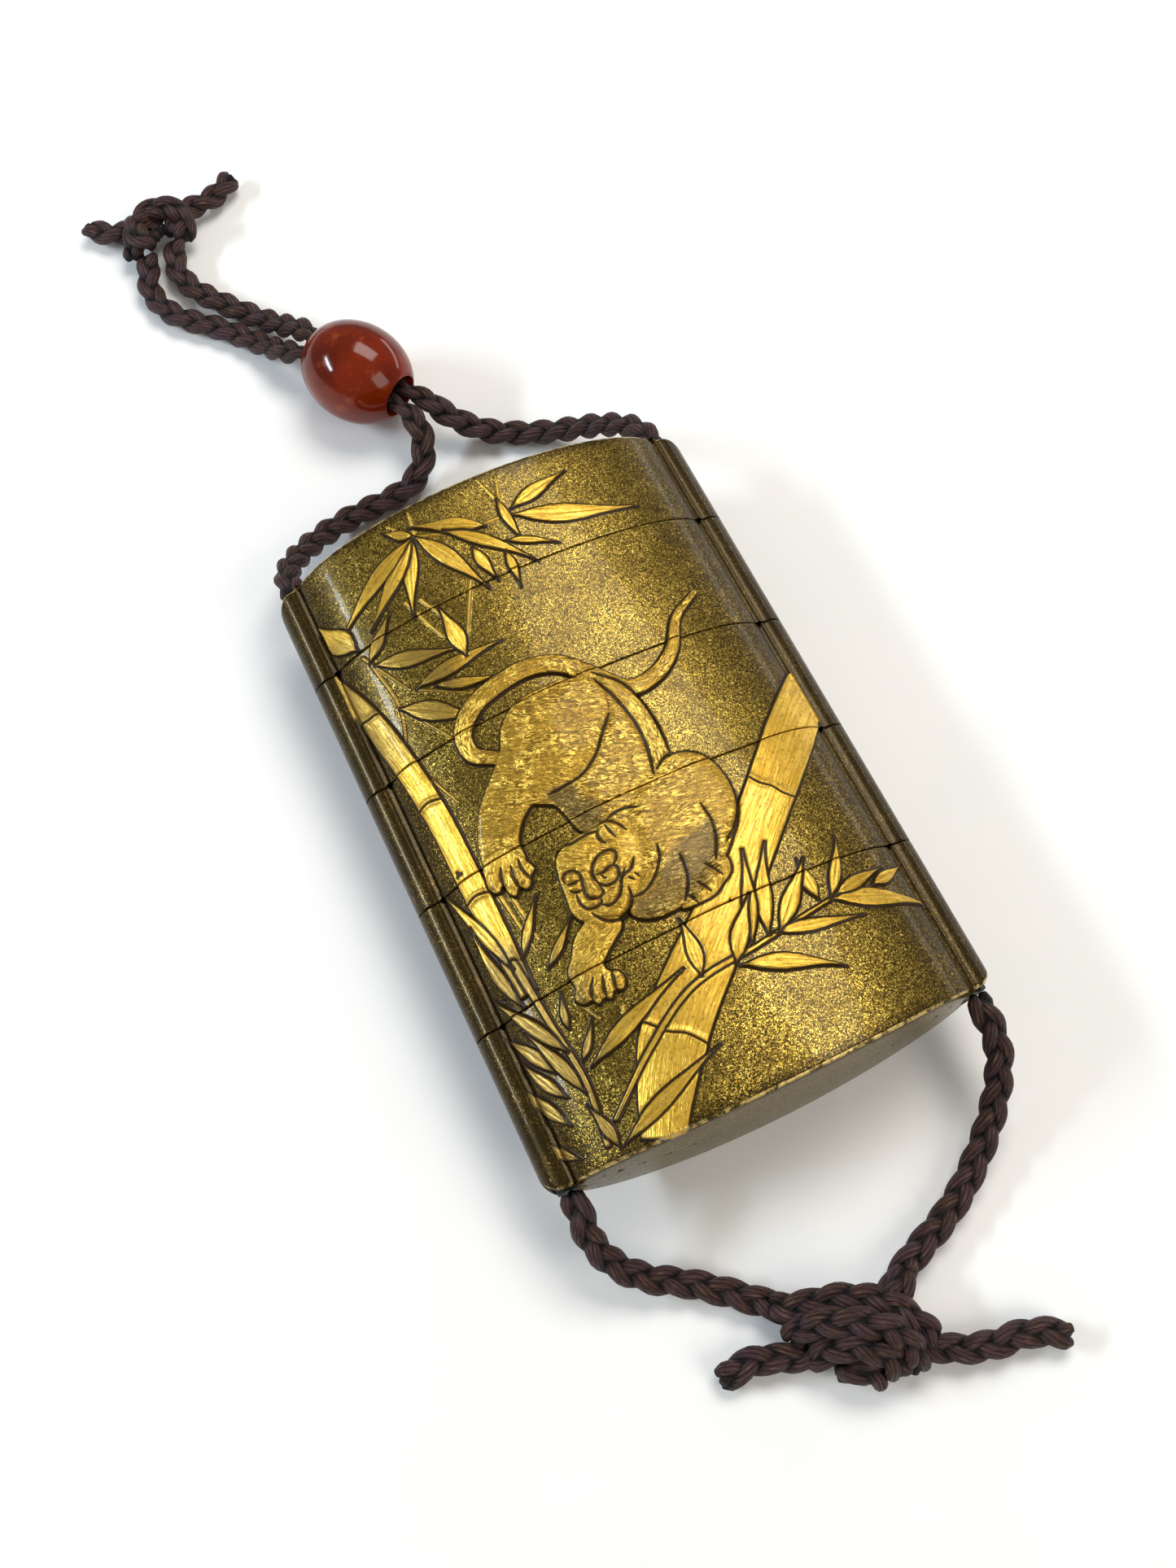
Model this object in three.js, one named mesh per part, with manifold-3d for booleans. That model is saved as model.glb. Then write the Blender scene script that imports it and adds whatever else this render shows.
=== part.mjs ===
// Inro: a small lacquered case of four stacking boxes and a lid, strung on a braided cord with a stone
// bead, lying on its back. Millimetres. +X runs across the case, +Y along it towards the lid, +Z up
// out of the decorated face. The origin is under the middle of the case, on the surface it lies on.
import * as THREE from "three";
import { mergeVertices } from "three/addons/utils/BufferGeometryUtils.js";
import Module from "manifold-3d";

const wasm = await Module();
wasm.setup();

// Driving dimensions of the case, mm
const caseWidth = 58;
const bottomCaseHeight = 19.5;
const lowerCaseHeight = 17.2;
const middleCaseHeight = 16.5;
const upperCaseHeight = 17;
const lidHeight = 13.7;
const bodyWidth = 52.8;
const frontCrown = 10;
const backCrown = 11.2;
const bodyRoundness = 2.1;
const restingFlatDepth = 0.15;
const ribThickness = 5.4;
const bottomEndBow = 2.4;
const topEndBow = 1.8;
const endFaceCrown = 0.7;
const ribCornerRadius = 2.2;
const grooveHeight = 3.6;
const grooveSink = 0.12;
const ribWrapDegrees = 105;

// Walls, risers and the channels for the cord
const outerWall = 1.5;
const riserWall = 1;
const riserHeight = 4.5;
const riserClearance = 0.3;
const floorThickness = 1.5;
const seamGap = 0.3;
const channelDiameter = 4;
const channelWall = 0.9;

// Cord, bead and knots
const cordDiameter = 3.7;
const cordStep = 5.2;
const runnerCordDiameter = 3.2;
const beadLength = 17;
const beadDiameter = 14;
const beadBore = 5.8;
const beadSqueeze = 0.62;
const touchGap = 0.3;
const mergeDistance = 0.001;

// Heights of the raised gold work above the ground
const leafRelief = 0.45;
const trunkRelief = 0.6;
const bodyRelief = 0.7;
const limbRelief = 0.95;
const headRelief = 1.2;
const muzzleRelief = 1.5;
const leafStagger = 0.12;
const edgeRelief = 0.4;
const highestRelief = 2;

// Worked out from the above
const halfWidth = caseWidth / 2;
const bodyHalf = bodyWidth / 2;
const ribRadius = ribThickness / 2;
const channelX = halfWidth - ribRadius;
const caseHeight = bottomCaseHeight + lowerCaseHeight + middleCaseHeight + upperCaseHeight + lidHeight;
const bottomY = -(caseHeight + topEndBow - bottomEndBow) / 2;
const topY = bottomY + caseHeight;
const midZ = backCrown - restingFlatDepth;

// Turns a closed geometry into a solid that can be joined and cut
function toSolid(geometry) {
  geometry.deleteAttribute("normal");
  geometry.deleteAttribute("uv");
  const merged = mergeVertices(geometry, 1e-4);
  const mesh = new wasm.Mesh({
    numProp: 3,
    vertProperties: new Float32Array(merged.attributes.position.array),
    triVerts: new Uint32Array(merged.index.array),
  });
  return new wasm.Manifold(mesh);
}

// Turns a solid back into a geometry. Corners closer than the merge distance become one, and the
// triangles that this closes up are dropped.
function toGeometry(solid) {
  const mesh = solid.getMesh();
  const raw = new THREE.BufferGeometry();
  raw.setAttribute("position", new THREE.BufferAttribute(new Float32Array(mesh.vertProperties), 3));
  raw.setIndex(new THREE.BufferAttribute(new Uint32Array(mesh.triVerts), 1));
  const geometry = mergeVertices(raw, mergeDistance);
  const corners = geometry.index.array;
  const kept = new Map();
  for (let i = 0; i < corners.length; i += 3) {
    const [a, b, c] = [corners[i], corners[i + 1], corners[i + 2]];
    if (a === b || b === c || a === c) {
      continue;
    }
    const key = [a, b, c].sort((m, n) => m - n).join(" ");
    if (kept.has(key)) {
      kept.delete(key);
    } else {
      kept.set(key, [a, b, c]);
    }
  }
  geometry.setIndex([...kept.values()].flat());
  return geometry;
}

function pull(points, depth) {
  return new THREE.ExtrudeGeometry(new THREE.Shape(points), { depth, bevelEnabled: false });
}

// Pulls a flat outline, drawn as x and z, along Y
function alongY(points, y0, y1) {
  const geometry = pull(points, y1 - y0);
  geometry.rotateX(Math.PI / 2);
  geometry.translate(0, y1, 0);
  return toSolid(geometry);
}

// Pulls a flat outline, drawn as x and y, along Z
function alongZ(points, z0, z1) {
  const geometry = pull(points, z1 - z0);
  geometry.translate(0, 0, z0);
  return toSolid(geometry);
}

// Pulls a flat outline, drawn as y and z, along X
function alongX(points, x0, x1) {
  const geometry = pull(points, x1 - x0);
  geometry.rotateX(Math.PI / 2);
  geometry.rotateZ(Math.PI / 2);
  geometry.translate(x0, 0, 0);
  return toSolid(geometry);
}

// A point on the lens-shaped section of the body: turn 0 is the right side and a quarter turn the crown
function lensPoint(turn, halfAcross, crown) {
  const power = 2 / bodyRoundness;
  const c = Math.cos(turn);
  const s = Math.sin(turn);
  return [Math.sign(c) * halfAcross * Math.abs(c) ** power, crown * Math.abs(s) ** power];
}

// Closed lens outline with its own half width and crowns, used for the hollows and the risers
function lensOutline(halfAcross, front, back, steps) {
  const points = [];
  for (let i = 0; i < steps; i++) {
    const turn = (2 * Math.PI * i) / steps;
    const [x, z] = lensPoint(turn, halfAcross, turn < Math.PI ? front : back);
    points.push(new THREE.Vector2(x, midZ + (turn < Math.PI ? z : -z)));
  }
  return points;
}

// A quarter of the outer outline: the crown, the shoulder, the groove and the rounded rib
function quarterOutline(crown) {
  const shoulderTurn = Math.asin((grooveHeight / crown) ** (bodyRoundness / 2));
  const points = [];
  const lensSteps = 8;
  for (let i = 0; i <= lensSteps; i++) {
    const turn = Math.PI / 2 + ((shoulderTurn - Math.PI / 2) * i) / lensSteps;
    points.push(lensPoint(turn, bodyHalf, crown));
  }
  const shoulder = new THREE.Vector2(...points[lensSteps]);
  const ribTurn = THREE.MathUtils.degToRad(ribWrapDegrees);
  const ribTop = new THREE.Vector2(channelX + ribRadius * Math.cos(ribTurn), ribRadius * Math.sin(ribTurn));
  const groove = ribTop.clone().lerp(shoulder, 0.25).subScalar(grooveSink);
  points.push([groove.x, groove.y]);
  const ribSteps = 4;
  for (let i = 0; i <= ribSteps; i++) {
    const turn = ribTurn * (1 - i / ribSteps);
    points.push([channelX + ribRadius * Math.cos(turn), ribRadius * Math.sin(turn)]);
  }
  return points;
}

function outerOutline() {
  const front = quarterOutline(frontCrown);
  const back = quarterOutline(backCrown);
  const points = [];
  front.forEach(([x, z]) => points.push(new THREE.Vector2(x, midZ + z)));
  back.slice(0, -1).reverse().forEach(([x, z]) => points.push(new THREE.Vector2(x, midZ - z)));
  back.slice(1, -1).forEach(([x, z]) => points.push(new THREE.Vector2(-x, midZ - z)));
  front.slice(1).reverse().forEach(([x, z]) => points.push(new THREE.Vector2(-x, midZ + z)));
  return points.reverse();
}

// The case seen from the front: straight sides, bowed ends and rounded corners on the ribs
function frontOutline() {
  const points = [];
  const steps = 10;
  const inner = halfWidth - ribCornerRadius;
  for (let i = 0; i <= steps; i++) {
    const x = -inner + (2 * inner * i) / steps;
    points.push(new THREE.Vector2(x, bottomEdge(x)));
  }
  addCorner(points, inner, bottomEdge(inner) + ribCornerRadius, -90, 0);
  addCorner(points, inner, topEdge(inner) - ribCornerRadius, 0, 90);
  for (let i = 1; i <= steps; i++) {
    const x = inner - (2 * inner * i) / steps;
    points.push(new THREE.Vector2(x, topEdge(x)));
  }
  addCorner(points, -inner, topEdge(inner) - ribCornerRadius, 90, 180);
  addCorner(points, -inner, bottomEdge(inner) + ribCornerRadius, 180, 270);
  points.pop();
  return points;
}

// How far down and up the case reaches at a distance from its middle line
function bottomEdge(x) {
  return bottomY - bottomEndBow * (1 - (x / halfWidth) ** 2);
}

function topEdge(x) {
  return topY + topEndBow * (1 - (x / halfWidth) ** 2);
}

function addCorner(points, x, y, fromDeg, toDeg) {
  const steps = 3;
  for (let i = 1; i <= steps; i++) {
    const turn = THREE.MathUtils.degToRad(fromDeg + ((toDeg - fromDeg) * i) / steps);
    const corner = new THREE.Vector2(Math.cos(turn), Math.sin(turn)).multiplyScalar(ribCornerRadius);
    points.push(corner.add(new THREE.Vector2(x, y)));
  }
}

// The case seen from the side: the end faces swell a little towards the middle of the thickness
function sideOutline() {
  const low = bottomY - bottomEndBow;
  const high = topY + topEndBow;
  const points = [];
  const steps = 5;
  const swell = (t) => endFaceCrown * 4 * t * (1 - t);
  const z0 = midZ - backCrown - 1;
  const z1 = midZ + frontCrown + 2;
  for (let i = 0; i <= steps; i++) {
    const t = i / steps;
    points.push(new THREE.Vector2(high - endFaceCrown + swell(t), z0 + (z1 - z0) * t));
  }
  for (let i = steps; i >= 0; i--) {
    const t = i / steps;
    points.push(new THREE.Vector2(low + endFaceCrown - swell(t), z0 + (z1 - z0) * t));
  }
  return points;
}

// The whole case as one block, before it is cut into boxes
function caseBlock() {
  const reach = 5;
  let block = alongY(outerOutline(), bottomY - bottomEndBow - reach, topY + topEndBow + reach);
  block = block.intersect(alongZ(frontOutline(), -reach, midZ + frontCrown + reach));
  block = block.intersect(alongX(sideOutline(), -halfWidth - reach, halfWidth + reach));
  return block.subtract(tableBlock());
}

// All that is below the surface the case lies on
function tableBlock() {
  return alongZ(rectangle(-2 * caseHeight, -2 * caseHeight, 2 * caseHeight, 2 * caseHeight), -caseHeight, 0);
}

function rectangle(x0, y0, x1, y1) {
  return [[x0, y0], [x1, y0], [x1, y1], [x0, y1]].map(([x, y]) => new THREE.Vector2(x, y));
}

// Raised shapes on the face. Each is a flat outline, and its top follows the curve of the body.
function leafOutline([x, y, degrees, length, width]) {
  const turn = THREE.MathUtils.degToRad(degrees);
  const along = new THREE.Vector2(Math.cos(turn), Math.sin(turn));
  const across = new THREE.Vector2(-along.y, along.x);
  const at = (t, side) => new THREE.Vector2(x, y)
    .addScaledVector(along, t * length)
    .addScaledVector(across, side * width * 0.5);
  const edge = [[0, 0.18], [0.2, 0.82], [0.42, 1], [0.74, 0.5]];
  const back = edge.slice().reverse();
  return [...edge.map(([t, w]) => at(t, -w)), at(1, 0), ...back.map(([t, w]) => at(t, w))];
}

function smoothLine(line, closed) {
  const points = line.map(([x, y, z = 0]) => new THREE.Vector3(x, y, z));
  return new THREE.CatmullRomCurve3(points, closed, "centripetal");
}

// A band of changing width along a smooth line, for tail, spine, stalks and trunks
function bandOutline(line, widths, steps) {
  const curve = smoothLine(line, false);
  const left = [];
  const right = [];
  for (let i = 0; i <= steps; i++) {
    const t = i / steps;
    const p = curve.getPointAt(t);
    const d = curve.getTangentAt(t);
    const place = t * (widths.length - 1);
    const k = Math.min(Math.floor(place), widths.length - 2);
    const half = (widths[k] + (widths[k + 1] - widths[k]) * (place - k)) / 2;
    right.push(new THREE.Vector2(p.x + d.y * half, p.y - d.x * half));
    left.push(new THREE.Vector2(p.x - d.y * half, p.y + d.x * half));
  }
  return right.concat(left.reverse());
}

// A closed rounded outline through a few points, for the animal's body and limbs
function roundOutline(line, steps) {
  const curve = smoothLine(line, true);
  const points = curve.getPoints(steps).slice(0, -1).map((p) => new THREE.Vector2(p.x, p.y));
  return THREE.ShapeUtils.area(points) < 0 ? points.reverse() : points;
}

// Bamboo leaves: foot x and y, direction in degrees, length, width
const leaves = [
  [-9.9, 38.8, -62, 11.1, 2.6], [-9.9, 38.8, -115, 10, 2.2], [-9.9, 38.8, -137, 11.7, 2.3],
  [-9.9, 38.8, -153, 13.8, 2.4], [-9.9, 38.8, 145, 3.7, 1.6], [-1.1, 35.8, 153, 8.7, 2.5],
  [-6.3, 37.6, -43, 11.4, 1.9], [-3.9, 33.8, -81, 5.2, 1.7], [-0.4, 31.4, -92, 4.9, 1.3],
  [2.4, 36, -19, 14.4, 3], [2.8, 36.8, 17, 8, 2.2], [1.7, 38.9, -87, 6.6, 1.4], [0.2, 32.8, -25, 6, 1.2],
  [-21.5, 26.3, 43, 5.9, 1.7], [-22.1, 28.8, 117, 6.4, 3.2], [-21.1, 25.7, -22, 9.5, 2.4],
  [-17.8, 19.8, 3, 10.5, 2.2], [-15.7, 18.9, -23, 7.3, 1.6], [-20.6, 18.7, -38, 9.4, 2.8],
  [-10.6, 20.4, 92, 6.9, 2.4],
  [1.3, -29.4, -22, 10.6, 2.3], [6.3, -27.4, -12, 10, 1.7], [14.5, -26.5, -19, 11.1, 2.6],
  [20.1, -26.6, 14, 4.6, 1.7], [15.3, -26.2, 11, 6.6, 1.8], [14.6, -26.4, 55, 7.3, 1.6],
  [13.2, -26, 91, 4.9, 1.8], [7.2, -27.7, 45, 8.7, 2.3], [5.9, -27.6, 68, 10, 2.2],
  [3.7, -27.7, 68, 10, 1.9],
  [1, -29, 55, 7.4, 2.3], [-3.2, -28.6, 82, 6.4, 1.9],
  [-20.1, -29.2, 117, 10, 2.4], [-22.4, -30.5, 115, 7.1, 2.2], [-22.4, -33.6, 115, 6.3, 2],
  [-23.3, -36.5, 116, 7.7, 2.2], [-23.8, -40.3, 130, 5.7, 1.8], [-20.3, -34.3, 107, 9.3, 2.3],
  [-18.6, -32, 21, 13, 3.1], [-19.3, -31, 49, 4.4, 1.5], [-20.2, -17, 54, 6.6, 1.7],
  [-18.2, -19.6, 39, 5.7, 1.7],
  [-19, -27, 81, 3.8, 1.5], [-21.6, -17.5, 105, 12.3, 2], [-22.4, -22.1, 100, 10.4, 2],
  [-19.5, -41.4, 101, 5.4, 2], [-19.1, -41.4, 20, 13.3, 2.8],
];

// Joints of the two bamboo trunks: a band runs between each pair
const rightTrunk = [
  { line: [[-15.5, -38.6], [-9.6, -33.1]], widths: [5.4, 6.2] },
  { line: [[-8.8, -32.4], [3, -21.9], [14.6, -11.4]], widths: [6.8, 5.6, 6.4] },
  { line: [[15.2, -10.8], [24.6, -1.4]], widths: [6.4, 5.8] },
];
const leftTrunk = [
  { line: [[-27.2, 29.6], [-24.4, 20.6]], widths: [1.8, 2.6] },
  { line: [[-24.2, 19.9], [-22.2, 6.1]], widths: [2.9, 2.7] },
  { line: [[-22.1, 5.4], [-21.7, -7.4]], widths: [3.1, 2.9] },
  { line: [[-21.7, -8.1], [-21.4, -20.8]], widths: [3.2, 2] },
];
const stalks = [
  { line: [[-18.6, -38.4], [-12, -33.4], [-4.8, -29.3], [5, -28],
    [14.5, -26.5]], widths: [0.9, 1.1, 1, 0.8, 0.6] },
  { line: [[-21.3, -17], [-20.6, -25], [-19.8, -33], [-20.6, -40.4]], widths: [1.3, 1.2, 1.1, 1.2] },
];

// The tiger, drawn as overlapping rounded pads from tail to head
const tail = [[-12.9, 6.4], [-15.2, 8.3], [-15.2, 11.1], [-13, 13.6], [-9, 14.9], [-4.6, 15.2],
  [-1, 13.9], [1.6, 11.2],
  [5.3, 7.4], [8.9, 7.8], [12.3, 10.2], [14.9, 14.2], [18.6, 16.8]];
const spine = [[1.4, 11], [4, 6.6], [4.7, 1.2], [4.4, -3.4]];
const haunch = [[-12.3, 6.8], [-11, 9.4], [-8.6, 11.4], [-4.6, 12], [-0.6, 11.6], [2.2, 9.4],
  [1.6, 5.4], [-0.6, 2.6],
  [-6.4, -0.4], [-12, -1.4], [-14.6, -4.2], [-15, -7], [-16.4, -7.8], [-19.4, -6.6], [-19.4, -3],
  [-17.5, 1.3],
  [-15, 4]];
const hindPaw = [[-19.6, -6], [-20.3, -8.4], [-18.8, -10.4], [-16.4, -10.8], [-14.6, -9.4], [-15, -6.8],
  [-17, -5.8]];
const flank = [[-11.6, -0.8], [-6.4, 0], [-0.4, 3], [1.8, 6], [2.6, 9.6], [4.6, 6], [4.8, 1],
  [4.6, -3.6], [2, -8.6],
  [-3.7, -9], [-6.7, -5.8], [-9.2, -2.6]];
const shoulder = [[3.1, -3.9], [5.6, -2.6], [8.4, -3.4], [10.2, -5.9], [10.6, -9.6], [9.5, -12.8],
  [7.2, -15.2],
  [4.4, -16.6], [0.6, -17], [-2.6, -14.4], [-3.4, -10.4], [-1.6, -6.6], [0.8, -4.6]];
const head = [[-4.6, -7.2], [-7.4, -7.2], [-10, -7.4], [-12, -8.6], [-12.6, -10.6], [-12.9, -13.2],
  [-13, -15.6],
  [-12, -17.2], [-10.2, -18.2], [-8.2, -18.3], [-6, -17.2], [-3.6, -14.2], [-2.4, -10.6], [-3, -8.2]];
const ear = [[-6.9, -8.4], [-7.6, -6.4], [-6.2, -5.6], [-4.8, -6.8], [-4.8, -8.6]];
const muzzle = [[-9.6, -12.4], [-11.8, -13.6], [-13, -15.6], [-12, -17.2], [-10.2, -18.1],
  [-8.4, -17.2], [-7.8, -14.8]];
const chest = [[-7.4, -18.8], [-5.4, -20.6], [-1.2, -20], [1.6, -17.2], [0.4, -14.4], [-3.4, -15.8]];
const rightPaw = [[-0.9, -20], [1.8, -18.2], [3.8, -16.6], [5.4, -17.4], [5, -19.6], [2.8, -21.4],
  [0, -21.8]];
const foreleg = [[-8.6, -18], [-12.4, -16.8], [-14.4, -18.8], [-16, -21.2], [-16.4, -23.6], [-15, -25],
  [-12.8, -25.6],
  [-10.8, -24.9], [-10.2, -22.4], [-9.2, -20]];

// One solid of all the raised work, each pad cut to its own height above the body
function reliefSolid() {
  const top = midZ + frontCrown + highestRelief;
  const layer = (height) => alongY(
    lensOutline(bodyHalf + height * edgeRelief, frontCrown + height, 1, 30), -caseHeight, caseHeight);
  const pads = [];
  const raise = (outline, height) => pads.push(alongZ(outline, midZ, top).intersect(layer(height)));
  const bands = (list, height) => list.forEach(({ line, widths }) =>
    raise(bandOutline(line, widths, 2 * (line.length - 1)), height));
  bands(rightTrunk, trunkRelief);
  bands(leftTrunk, trunkRelief);
  bands(stalks, leafRelief);
  leaves.forEach((leaf, i) => raise(leafOutline(leaf), leafRelief + leafStagger * (i % 3)));
  raise(bandOutline(tail, [1.8, 2.5, 2.5, 2.4, 2.3, 1.6, 0.8], 26), bodyRelief);
  raise(roundOutline(flank, 22), bodyRelief);
  raise(bandOutline(spine, [2, 2.6, 2.4], 6), limbRelief);
  raise(roundOutline(haunch, 30), limbRelief);
  raise(roundOutline(hindPaw, 14), headRelief);
  raise(roundOutline(chest, 12), leafRelief);
  raise(roundOutline(rightPaw, 14), limbRelief);
  raise(roundOutline(shoulder, 22), limbRelief);
  raise(roundOutline(foreleg, 18), limbRelief);
  raise(roundOutline(head, 24), headRelief);
  raise(roundOutline(ear, 8), muzzleRelief);
  raise(roundOutline(muzzle, 14), muzzleRelief);
  return pads.reduce((all, pad) => all.add(pad));
}

// The hollows and the risers that fit them: one outline, set in by the clearance and the riser's wall
function hollowOutline(inset) {
  const across = channelX - channelDiameter / 2 - channelWall - inset;
  return lensOutline(across, frontCrown - outerWall - inset, backCrown - outerWall - inset, 22);
}

// A straight eight-sided bar beside the case, as wide as given over its corners
function sideBar(side, diameter, y0, y1) {
  const points = [];
  for (let i = 0; i < 8; i++) {
    const turn = (Math.PI * (i + 0.5)) / 4;
    points.push(new THREE.Vector2(
      side * channelX + (diameter / 2) * Math.cos(turn), midZ + (diameter / 2) * Math.sin(turn)));
  }
  return alongY(points, y0, y1);
}

function channel(side) {
  return sideBar(side, channelDiameter, -caseHeight, caseHeight);
}

// One section between two heights: a lid has no riser, and only the bottom case has no socket
function makeSection(block, y0, y1, hasSocket, hasRiser) {
  const low = hasSocket ? y0 + seamGap / 2 : y0 - caseHeight;
  const high = hasRiser ? y1 - seamGap / 2 : y1 + caseHeight;
  let solid = block.intersect(alongZ(rectangle(-caseWidth, low, caseWidth, high), -1, midZ + frontCrown + 5));
  let floorY = y0 + floorThickness;
  if (hasSocket) {
    const socketTop = hasRiser ? y0 + riserHeight + riserClearance : topY - floorThickness;
    solid = solid.subtract(alongY(hollowOutline(0), y0 - 1, socketTop));
    floorY = socketTop + floorThickness;
  }
  if (hasRiser) {
    const riser = hollowOutline(riserClearance);
    const inside = hollowOutline(riserClearance + riserWall);
    solid = solid.add(alongY(riser, high - floorThickness, y1 + riserHeight));
    solid = solid.subtract(alongY(inside, floorY, y1 + riserHeight + 1));
  }
  return solid;
}

function caseSections() {
  const raised = reliefSolid().intersect(frontPlan());
  const block = caseBlock().add(raised).subtract(channel(-1)).subtract(channel(1));
  const heights = [bottomCaseHeight, lowerCaseHeight, middleCaseHeight, upperCaseHeight, lidHeight];
  const names = ["bottom_case", "lower_case", "middle_case", "upper_case", "lid"];
  let y = bottomY;
  return names.map((name, i) => {
    const solid = makeSection(block, y, y + heights[i], i > 0, i < names.length - 1);
    y += heights[i];
    return { name, solid };
  });
}

function frontPlan() {
  return alongZ(frontOutline(), 0, midZ + frontCrown + 5);
}

// Where the bead lies, and points beside its axis: along it, to its side and above it
const beadCentre = new THREE.Vector3(-4.7, 75.4, beadDiameter / 2);
const beadAxis = new THREE.Vector3(-0.512, 0.859, 0);
function beadPoint(along, side, up) {
  return [
    beadCentre.x + beadAxis.x * along + beadAxis.y * side,
    beadCentre.y + beadAxis.y * along - beadAxis.x * side,
    beadCentre.z + up,
  ];
}

// Cord routes, chosen by hand, from the channel mouths
const mouthTop = topEdge(channelX);
const mouthBottom = bottomEdge(channelX);
const topLeftRoute = [
  [-channelX, mouthTop + touchGap, midZ], [-channelX, mouthTop + 2, midZ], [-26, 47.2, 9.8],
  [-24.5, 49.9, 7.8],
  [-21.7, 52.9, 5.2], [-17.8, 55.4, 3.1], [-13, 56.8, 2.1], [-8, 57.1, 2], [-4.7, 57.6, 2.5],
  [-2.2, 59.1, 3.6],
  [-0.7, 61.5, 5],
  [-0.4, 64.2, 6.3], beadPoint(-8.9, -1.35, -0.1), beadPoint(-3, -1.3, 0), beadPoint(3, -1.3, 0),
  beadPoint(7.8, -1.35, 0), beadPoint(12, -1.9, -1.7), [-14.5, 88.9, 3], [-17.2, 93.1, 2], [-20.4, 96.6, 2],
  [-23.4, 99.4, 2], [-25.5, 102.8, 2], [-26.1, 107.2, 2.1], [-24.2, 112.2, 2.6],
];
const topRightRoute = [
  [channelX, mouthTop + touchGap, midZ], [channelX, mouthTop + 2, midZ], [25.7, 47.6, 9.9],
  [23.6, 51.4, 7.2],
  [20.7, 54.4, 4.6], [17.3, 56.7, 2.8], [13.6, 58.7, 2.1], [10, 60.4, 2.4], [6.6, 62.4, 3.7],
  [4, 64.8, 5.3],
  beadPoint(-10.4, 1.9, -0.6), beadPoint(-7.8, 1.35, 0), beadPoint(-3, 1.3, 0), beadPoint(3, 1.3, 0),
  beadPoint(7.8, 1.35, 0), beadPoint(12, 2.3, -1.4), [-11.6, 91.6, 3.2], [-14, 95.4, 2], [-17.6, 100, 2],
  [-20.4, 104.4, 2], [-21.2, 109, 2.2], [-19.6, 112.8, 2.8],
];
const bottomLeftRoute = [
  [-channelX, mouthBottom - touchGap, midZ], [-channelX, mouthBottom - 2, midZ], [-26.5, -46, 9.7],
  [-26.3, -48.2, 7.8], [-24.8, -51.2, 5.2], [-22, -53.8, 3.2], [-18.3, -56, 2.1], [-14.8, -58.7, 2],
  [-11.4, -61.7, 2.2], [-8.8, -64.2, 2.7], [-7, -66.4, 3.4],
];
const bottomRightRoute = [
  [channelX, mouthBottom - touchGap, midZ], [channelX, mouthBottom - 2, midZ], [26.5, -46, 10.1],
  [26.3, -48.6, 8.6], [24.9, -51.8, 6.3], [22.4, -55, 4.2], [19.2, -58, 2.7], [15.5, -60.7, 2.1],
  [11.5, -62.8, 2], [7.5, -64.4, 2.1], [3.8, -66.2, 2.6], [1, -68.2, 3.4],
];

// A plain eight-sided tube along a route, or with an extra the socket that takes it, which is wider and
// longer by that much. Inside the bead it is squeezed to fit the bore.
function cordTube(route, diameter, extra) {
  const curve = smoothLine(route, false);
  const steps = Math.max(4, Math.round(curve.getLength() / cordStep));
  const radius = diameter / 2 + extra;
  const ring = [];
  for (let i = 0; i < 8; i++) {
    const turn = (Math.PI * (i + 0.5)) / 4;
    ring.push(new THREE.Vector2(radius * Math.cos(turn), radius * Math.sin(turn)));
  }
  const settings = { steps, extrudePath: curve, bevelEnabled: false };
  const geometry = new THREE.ExtrudeGeometry(new THREE.Shape(ring), settings);
  squeezeInBead(geometry, curve, steps);
  lengthenEnds(geometry, curve, extra);
  return toSolid(geometry);
}

function lengthenEnds(geometry, curve, extra) {
  const position = geometry.attributes.position;
  const p = new THREE.Vector3();
  const ends = [
    [curve.getPointAt(0), curve.getTangentAt(0).negate()],
    [curve.getPointAt(1), curve.getTangentAt(1)],
  ];
  ends.forEach(([end, out]) => {
    for (let i = 0; i < position.count; i++) {
      p.fromBufferAttribute(position, i);
      const ahead = p.clone().sub(end).dot(out);
      if (Math.abs(ahead) < mergeDistance && p.distanceTo(end) < cordDiameter) {
        p.addScaledVector(out, extra);
        position.setXYZ(i, p.x, p.y, p.z);
      }
    }
  });
}

function squeezeInBead(geometry, curve, steps) {
  const centres = curve.getSpacedPoints(steps);
  const position = geometry.attributes.position;
  const p = new THREE.Vector3();
  for (let i = 0; i < position.count; i++) {
    p.fromBufferAttribute(position, i);
    const near = centres.reduce((a, b) => (p.distanceTo(a) < p.distanceTo(b) ? a : b));
    const away = near.distanceTo(beadCentre) - beadLength / 2;
    const spread = (away * (1 - beadSqueeze)) / (2 * cordDiameter);
    const factor = THREE.MathUtils.clamp(beadSqueeze + spread, beadSqueeze, 1);
    p.sub(near).multiplyScalar(factor).add(near);
    position.setXYZ(i, p.x, p.y, p.z);
  }
}

function runnerCord(side) {
  return sideBar(side, runnerCordDiameter, mouthBottom, mouthTop);
}

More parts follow.
